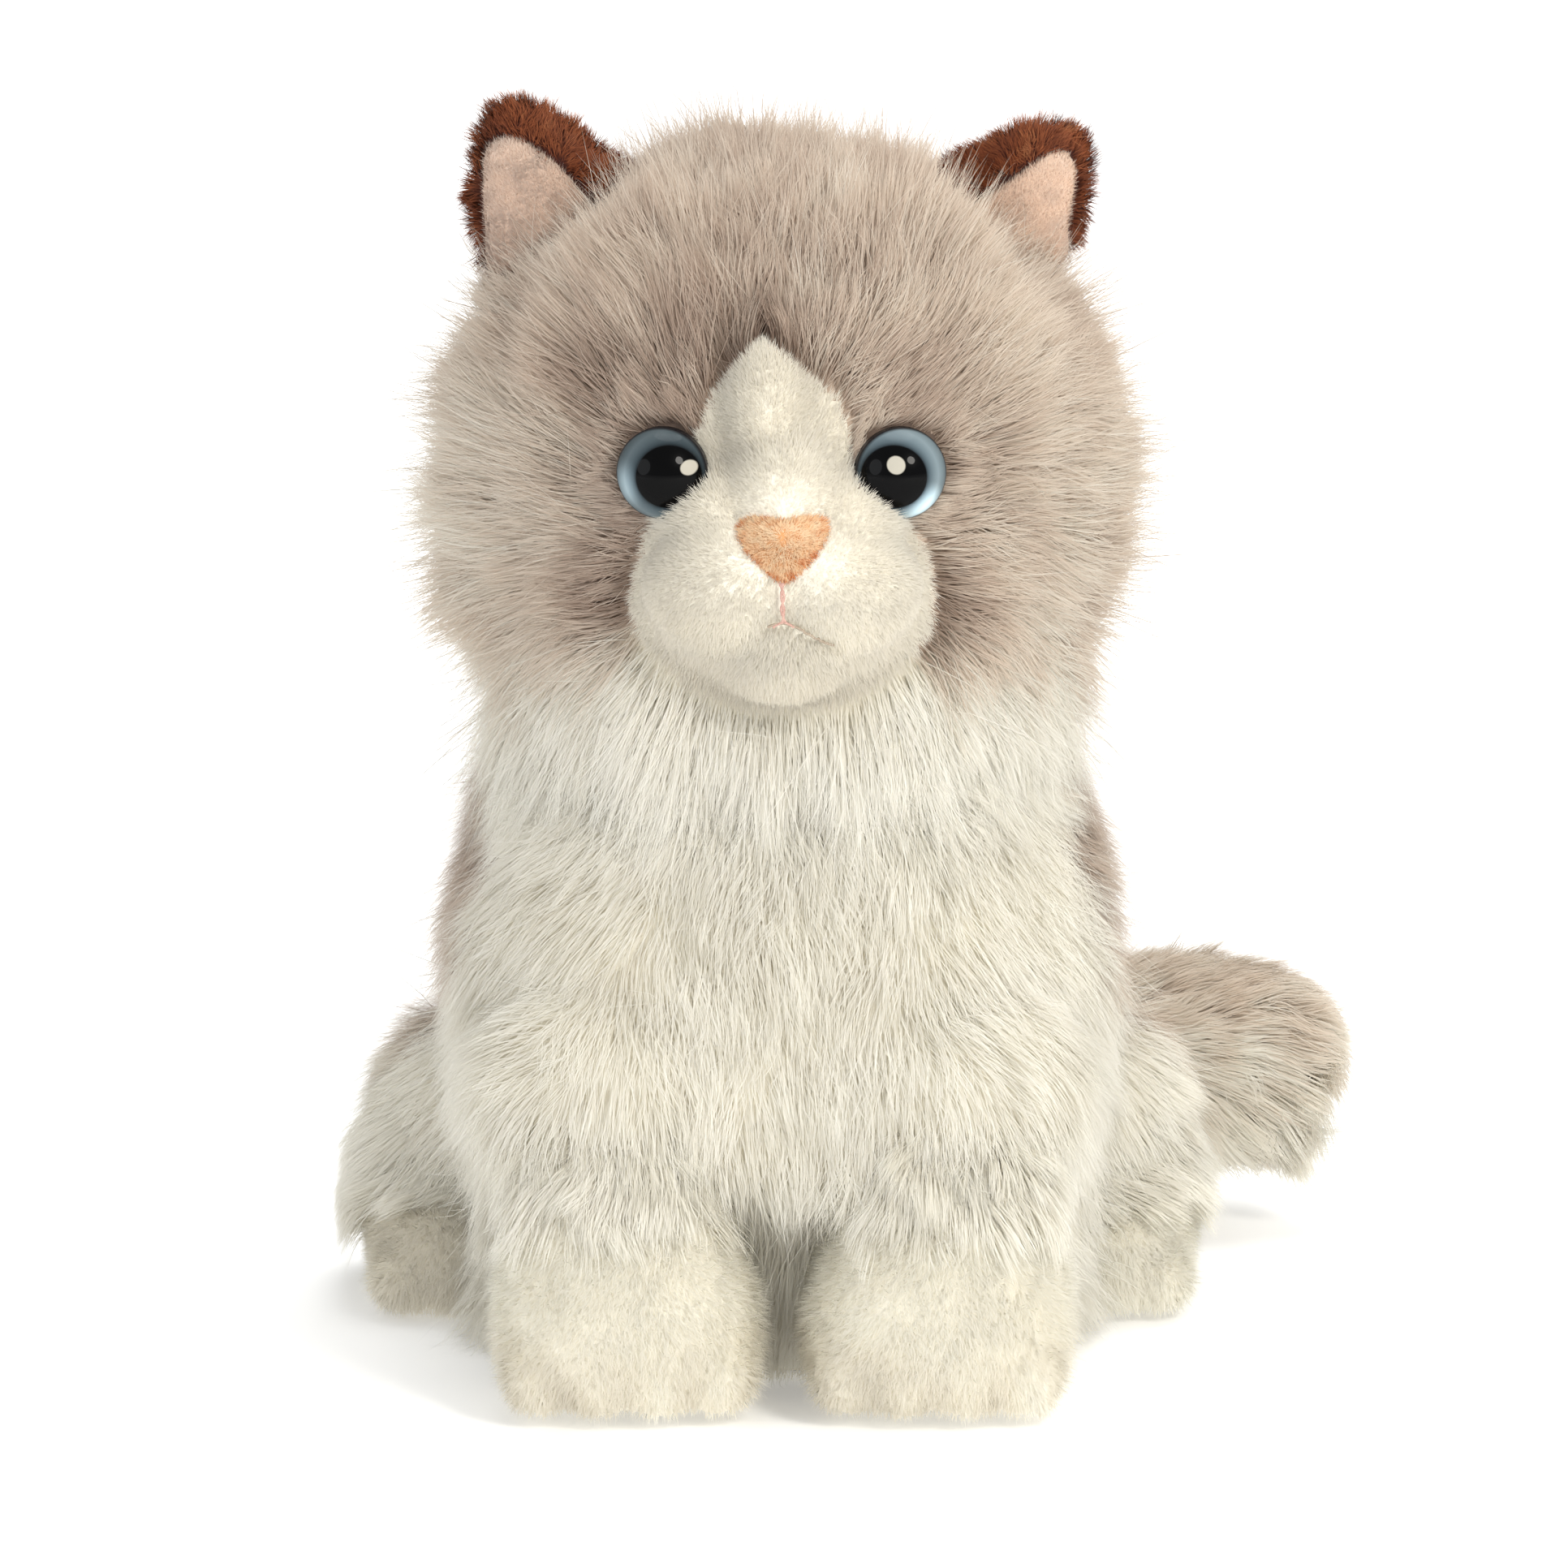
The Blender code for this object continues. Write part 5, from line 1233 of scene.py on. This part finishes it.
# ---------------------------------------------------------------- front legs
LEG = [      # height, lean outwards, half width, front, rear
    (0.4, 0, 16.5, -75, -43), (3, 0, 23.0, -82, -37), (8, 0, 28.2, -86, -33.5), (16, 0.1, 29.0, -86, -33),
    (26, 0.6, 28.0, -84, -32.5), (36, 1.8, 24.6, -80.5, -32.5), (46, 3.0, 22.8, -77, -32.5), (56, 3.5, 19.5, -72, -36),
    (64, 3.5, 8.0, -61, -48),
]
for side, xc, sx in (("left", -29.8, -1), ("right", 30.4, 1)):
    table = [(z, xc + lean * sx, a, yf, yr) for z, lean, a, yf, yr in LEG]
    parts = [inset(egg(table, 26, 56, -58.0, 2.25), lambda v: 3.6 + 0.9 * smoothstep(-v[:, 1], 62, 80) * smoothstep(20 - v[:, 2], 0, 10))]
    for dx, r in ((-17.0, 7.2), (-5.9, 8.2), (5.9, 8.2), (17.0, 7.2)):
        parts.append(ball((xc + dx, -72.9 + abs(dx) * 0.2, 9.6), (r, 8.2, 8.2)))
    leg = fuse("front_leg_skin_" + side, parts, 1.6, 12, SKIN_CREAM)
    put(leg, "torso")
    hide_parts("front_leg_" + side)

    def leg_mask(p, n):
        return (n[:, 2] > -0.75) * (p[:, 2] < 52) * np.where((p[:, 1] > -44) & (p[:, 2] > 40), 0.1, 1.0)

    def leg_style(p, n, xc=xc):
        flow = tangent(np.array((0, -0.2, -1.0)) + np.stack([waves(p, 16, 61), 0 * p[:, 0], waves(p, 16, 62)], 1) * 0.18, n)
        low = smoothstep(10 - p[:, 2], 0, 7)
        length = 4.8 + 0.4 * waves(p, 12, 63) - 1.2 * low
        # painted shade: dark lines between the toes, and the pile darker towards the floor, more on the left side of
        # each paw
        toe_crease_shade = np.cos((p[:, 0] - xc) / 11.8 * 2 * math.pi) * smoothstep(-p[:, 1], 66, 76) * smoothstep(17 - p[:, 2], 0, 9)
        shadow = smoothstep(26 - p[:, 2], 0, 24) * (1 - 0.5 * smoothstep((p[:, 0] - xc), -20, 10))
        tone = 0.97 + 0.02 * waves(p, 15, 64) - 0.14 * toe_crease_shade - 0.45 * shadow
        return unit(n * 1.2 + flow * 0.6), unit(n * 0.75 + flow * 0.8), length, tone

    put(
        grow("front_leg_pile_" + side, leg, 46000, 210 + int(xc), FUR_SHORT, leg_mask, leg_style, clump=(), noise=0.03,
             width=0.19, spread=0.27, segments=2, normal_mix=1.0, lean=(0.12, -0.1, 0.4)),
        "torso",
    )

    def arm_mask(p, n):
        return smoothstep(p[:, 2] + 2.0 * waves(p, 9, 65), 40, 47) * (p[:, 1] < -44)

    def arm_style(p, n, xc=xc):
        x = p[:, 0]
        flow = tangent(np.stack([0.3 * (x - xc) / 25 + 0.12 * np.sign(x), -0.1 + 0 * x, -1.0 + 0 * x], 1)
                       + np.stack([waves(p, 20, 66), 0 * x, 0 * x], 1) * 0.2, n)
        length = 12.5 + 2.0 * waves(p, 12, 67) + 1.5 * waves(p, 5, 68)
        return unit(n * 0.75 + flow), unit(n * 0.0 + flow), length, 0.9 + 0.03 * waves(p, 14, 58)

    put(
        grow("front_leg_fur_" + side, leg, 10000, 220 + int(xc), FUR_LONG, arm_mask, arm_style, clump=SOFT, noise=0.012, width=0.23),
        "torso",
    )

# ---------------------------------------------------------------- hind legs
HIND = [
    (0.4, 14.5, 7.5, 54), (3, 18.5, 3.5, 59), (9, 19.8, 2, 62), (18, 20.4, 3.5, 63.5), (28, 20.8, 10, 64), (38, 20.2, 16, 63),
    (48, 18.0, 21, 60), (56, 13.0, 27, 54), (61, 5.5, 35, 46),
]
for side, sx in (("left", -1), ("right", 1)):
    xc = 66.0 * sx
    table = [(z, xc, a, yf, yr) for z, a, yf, yr in HIND]
    parts = [inset(egg(table, 22, 48, 34.0, 2.2), lambda v: 3.8 + 3.2 * smoothstep(v[:, 2], 20, 36))]
    for dx, r in ((-9.5, 6.6), (0.0, 7.4), (9.5, 6.6)):
        parts.append(ball((xc + dx, 13.5 + abs(dx) * 0.18, 8.2), (r, 8.0, 6.8)))
    hind = fuse("hind_leg_skin_" + side, parts, 1.6, 9, SKIN_CREAM)
    put(hind, "torso")
    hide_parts("hind_leg_" + side)

    def hind_split(p):
        return smoothstep(p[:, 2] + 0.25 * (p[:, 1] - 12) + 1.5 * waves(p, 12, 71), 24, 28)

    def paw_mask(p, n):
        return (1 - hind_split(p)) * (n[:, 2] > -0.8) * np.where(p[:, 0] * np.sign(xc) < 54, 0.3, 1.0)

    def thigh_mask(p, n):
        return hind_split(p) * np.where(p[:, 0] * np.sign(xc) < 54, 0.2, 1.0)

    def paw_style(p, n, sx=sx):
        flow = tangent(np.array((0, -0.3, -1.0)) + np.stack([waves(p, 16, 72), 0 * p[:, 0], waves(p, 16, 73)], 1) * 0.18, n)
        # painted shade: the left paw darker than the right
        tone = (0.7 if sx < 0 else 1.0) + 0.03 * waves(p, 14, 74)
        return unit(n * 1.2 + flow * 0.6), unit(n * 0.75 + flow * 0.8), np.full(len(p), 4.8), tone

    def thigh_style(p, n, sx=sx):
        x, y, z = p.T
        flow = np.stack([0.75 * sx + 0 * x, -0.1 + 0 * x, -1.0 + 0 * x], 1)
        wob = np.stack([waves(p, 26, 75), waves(p, 26, 76), 0 * x], 1) * 0.2
        flow = tangent(flow + wob, n)
        tuft = smoothstep(x * sx, 62, 76) * smoothstep(48 - z, 0, 16)
        length = (14.5 if sx < 0 else 12.5) + 1.5 * waves(p, 20, 77) + 4.0 * tuft * (sx < 0)
        lift = 0.34 + 0.1 * waves(p, 16, 78) + 0.2 * tuft
        dark = smoothstep(y + 3 * waves(p, 15, 56), 30, 46) * smoothstep(z, 34, 48)
        tone = (0.89 + 0.03 * waves(p, 14, 79)) * (1 - dark) + (0.46 + 0.05 * waves(p, 14, 59)) * dark
        return unit(n * (lift + 0.55)[:, None] + flow), unit(n * (lift - 0.25)[:, None] + flow), length, tone

    put(
        grow("hind_paw_pile_" + side, hind, 20000, 230 + sx, FUR_SHORT, paw_mask, paw_style, clump=(), noise=0.03,
             width=0.19, spread=0.27, segments=2, normal_mix=1.0, lean=(0.25, -0.3, 0.5)),
        "torso",
    )
    put(
        grow("thigh_fur_" + side, hind, 16000, 240 + sx, FUR_LONG, thigh_mask, thigh_style, clump=SOFT, noise=0.014, width=0.25),
        "torso",
    )

# ---------------------------------------------------------------- tail
TAIL = [
    (45, 88.5, 37, 9.5), (51, 90.5, 36.5, 17), (60, 93, 35.5, 22.5), (74, 94.5, 35.2, 25), (88, 93.5, 37, 24.4),
    (99, 91, 40.5, 19.5), (107, 88.5, 44, 11.5), (111.5, 87, 46, 3.5),
]
tail_parts = []
for (x0, y0, z0, r0), (x1, y1, z1, r1) in zip(TAIL[:-1], TAIL[1:]):
    for k in range(3):
        t = k / 3
        r = (r0 + (r1 - r0) * t)
        rr = max(7.6 if x0 < 60 else 4.0, r - 9.0)
        x = min(x0 + (x1 - x0) * t, 101.0)
        tail_parts.append(ball((x, y0 + (y1 - y0) * t, z0 + (z1 - z0) * t), (rr, rr, rr), 20, 12))
tail_parts.append(ball((88, 92, 29), (11, 9, 9), 20, 12))
tail_parts.append(ball((80, 93, 28), (12, 9, 8), 20, 12))
tail_parts.append(ball((97, 91, 30), (9, 8, 8), 20, 12))
tail_skin = fuse("tail_skin", tail_parts, 1.8, 8, SKIN_TAUPE)
put(tail_skin, "tail")
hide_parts("tail_plush")


def tail_style(p, n):
    x, y, z = p.T
    tip = smoothstep(x, 70, 100)
    droop = smoothstep(40 - z, -6, 12)
    flow = np.stack([1.0 - 0.35 * droop, -0.12 - 0.1 * tip, 0.12 - 0.2 * tip - 0.85 * droop], 1)
    wob = np.stack([0 * x, waves(p, 24, 81), waves(p, 24, 82)], 1) * 0.16
    flow = tangent(flow + wob, n)
    length = 15.5 + 1.5 * waves(p, 18, 83) + 6.5 * droop
    base = smoothstep(56 - x, 0, 8)
    lift = 0.5 - 0.3 * tip + 1.6 * base
    flow = flow * (1 - 0.8 * base)[:, None]
    under = smoothstep(44 - z + 2.5 * waves(p, 12, 84), -5, 12) * (1 - base)
    tone = (0.63 + 0.05 * waves(p, 14, 85)) * (1 - under) + (0.83 + 0.03 * waves(p, 10, 86)) * under
    return unit(n * (lift + 0.5)[:, None] + flow), unit(n * (lift - 0.25)[:, None] + flow), length, tone


put(
    grow("tail_fur", tail_skin, 30000, 250, FUR_LONG, lambda p, n: np.ones(len(p)), tail_style, noise=0.035, width=0.3),
    "tail",
)

# ---------------------------------------------------------------- welt round the base plate
WELT = noisy("welt_tape", lin(214, 204, 182), lin(232, 224, 204), 400, (0.7, 0.85), bump=0.4, bump_scale=1800)


def welt(name, x0, x1, y0, y1, rc, z, r, mat, seg=8):
    pts = []
    for cx, cy, a0 in ((x1 - rc, y1 - rc, 0), (x0 + rc, y1 - rc, 90), (x0 + rc, y0 + rc, 180), (x1 - rc, y0 + rc, 270)):
        for k in range(13):
            a = math.radians(a0 + 90 * k / 12)
            pts.append((cx + rc * math.cos(a), cy + rc * math.sin(a)))
    dense = []
    for (ax, ay), (bx, by) in zip(pts, pts[1:] + pts[:1]):
        n = max(1, int(math.hypot(bx - ax, by - ay) / 2.0))
        dense += [(ax + (bx - ax) * k / n, ay + (by - ay) * k / n) for k in range(n)]
    verts, faces = [], []
    m = len(dense)
    for i, (x, y) in enumerate(dense):
        nx, ny = dense[(i + 1) % m][0] - dense[i - 1][0], dense[(i + 1) % m][1] - dense[i - 1][1]
        d = math.hypot(nx, ny)
        ox, oy = ny / d, -nx / d
        rr = r * (1 + 0.06 * math.sin(i * 0.9))
        for k in range(seg):
            a = 2 * math.pi * k / seg
            verts.append(((x + ox * rr * math.cos(a)) * MM, (y + oy * rr * math.cos(a)) * MM, (z + rr * math.sin(a)) * MM))
    for i in range(m):
        j = (i + 1) % m
        for k in range(seg):
            q = (k + 1) % seg
            faces.append((i * seg + k, i * seg + q, j * seg + q, j * seg + k))
    ob = mesh_object(name, verts, faces, mat)
    bm = bmesh.new()
    bm.from_mesh(ob.data)
    bmesh.ops.recalc_face_normals(bm, faces=bm.faces)
    bm.to_mesh(ob.data)
    bm.free()
    ob.data.shade_smooth()
    return ob


put(welt("base_welt", -42.0, 42.0, -32.0, 74.0, 9.0, 2.2, 1.7, WELT), "torso")

# ---------------------------------------------------------------- finishes of the CAD pieces
LOOKS = {
    "white_plastic": noisy("abs_white", lin(222, 221, 214), lin(232, 231, 226), 45, (0.42, 0.5), 0.25, 1500),
    "grey_plastic": noisy("abs_grey", lin(120, 122, 124), lin(132, 134, 136), 45, (0.48, 0.58), 0.35, 1400),
    "black_plastic": noisy("abs_black", lin(26, 26, 28), lin(36, 36, 38), 60, (0.4, 0.5), 0.3, 1400),
    "gear_nylon": noisy("nylon_gear", lin(228, 222, 200), lin(238, 233, 214), 60, (0.35, 0.45), 0.15, 1200),
    "steel": noisy("steel_zinc", lin(168, 170, 174), lin(196, 198, 200), 120, (0.22, 0.38), 0.12, 2400, metal=1.0),
    "brass": noisy("brass_turned", lin(196, 158, 84), lin(216, 180, 108), 140, (0.22, 0.35), 0.12, 2400, metal=1.0),
    "board_green": noisy("board_green", lin(22, 74, 48), lin(30, 92, 58), 160, (0.3, 0.42), 0.2, 1600, coat=0.4),
    "cell_wrap": noisy("cell_wrap", lin(64, 76, 92), lin(78, 92, 110), 30, (0.22, 0.3), 0.05, 900, coat=0.5),
    "wire_red": noisy("wire_pvc", lin(150, 26, 24), lin(176, 38, 34), 200, (0.35, 0.45), 0.1, 1200),
    "speaker_black": noisy("speaker_cone", lin(22, 22, 24), lin(34, 34, 36), 200, (0.6, 0.75), 0.5, 1800),
    "iris_blue": noisy("iris_blue", lin(96, 122, 134), lin(150, 172, 178), 400, (0.2, 0.3), 0.0, 900, coat=0.6),
    "clear_plastic": noisy("lens_clear", lin(210, 216, 218), lin(226, 230, 232), 60, (0.05, 0.08), 0.0, 900, coat=1.0),
}
for name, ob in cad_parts.items():
    for sl in ob.material_slots:
        key = sl.material.name.split(".")[0] if sl.material else ""
        if key in LOOKS:
            sl.material = LOOKS[key]

# ---------------------------------------------------------------- studio
floor_mat, nt, sh, out = nodes_of("studio_floor")
tc = nt.nodes.new("ShaderNodeTexCoord")
nz = nt.nodes.new("ShaderNodeTexNoise")
nz.inputs["Scale"].default_value = 6.0
nt.links.new(tc.outputs["Object"], nz.inputs["Vector"])
cr = ramp(nt, [(0.3, lin(246, 246, 245)), (0.7, lin(249, 249, 248))])
nt.links.new(nz.outputs["Fac"], cr.inputs[0])
nt.links.new(cr.outputs[0], sh.inputs["Base Color"])
sh.inputs["Roughness"].default_value = 0.9
sh.inputs["Specular IOR Level"].default_value = 0.1
sh.inputs["Emission Color"].default_value = (1.0, 1.0, 1.0, 1.0)
reach = nt.nodes.new("ShaderNodeVectorMath")        # the sweep glows a little away from the toy
reach.operation = "LENGTH"
nt.links.new(tc.outputs["Object"], reach.inputs[0])
glow = nt.nodes.new("ShaderNodeMapRange")
glow.inputs["From Min"].default_value = 0.2
glow.inputs["From Max"].default_value = 1.3
glow.inputs["To Min"].default_value = 0.22
glow.inputs["To Max"].default_value = 0.5
nt.links.new(reach.outputs["Value"], glow.inputs["Value"])
nt.links.new(glow.outputs[0], sh.inputs["Emission Strength"])
floor = mesh_object("studio_floor", [(-6, -6, 0), (6, -6, 0), (6, 6, 0), (-6, 6, 0)], [(0, 1, 2, 3)], floor_mat, smooth=False)

world = bpy.data.worlds.new("studio_world")
world.use_nodes = True
bg = world.node_tree.nodes["Background"]
bg.inputs[0].default_value = (0.98, 0.99, 1.0, 1.0)
bg.inputs[1].default_value = 0.62
bpy.context.scene.world = world


def area(name, loc, aim, size, power, colour):
    d = bpy.data.lights.new(name, "AREA")
    d.shape = "DISK"
    d.size = size
    d.energy = power
    d.color = colour
    ob = bpy.data.objects.new(name, d)
    bpy.context.scene.collection.objects.link(ob)
    ob.location = loc
    ob.rotation_euler = (Vector(aim) - Vector(loc)).to_track_quat("-Z", "Y").to_euler()
    return ob


area("key", (0.85, -1.15, 1.05), (0, 0, 0.12), 0.5, 15.0, (1.0, 0.965, 0.9))
area("top", (0.1, 0.35, 1.6), (0, 0, 0.1), 1.2, 12.0, (1.0, 0.99, 0.97))
area("fill", (-1.2, -0.9, 0.55), (0, 0, 0.12), 0.9, 4.0, (0.93, 0.96, 1.0))
area("rim", (0.9, 0.9, 0.7), (0, 0, 0.15), 0.5, 3.0, (1.0, 0.98, 0.95))

bpy.context.scene.view_settings.view_transform = "Standard"
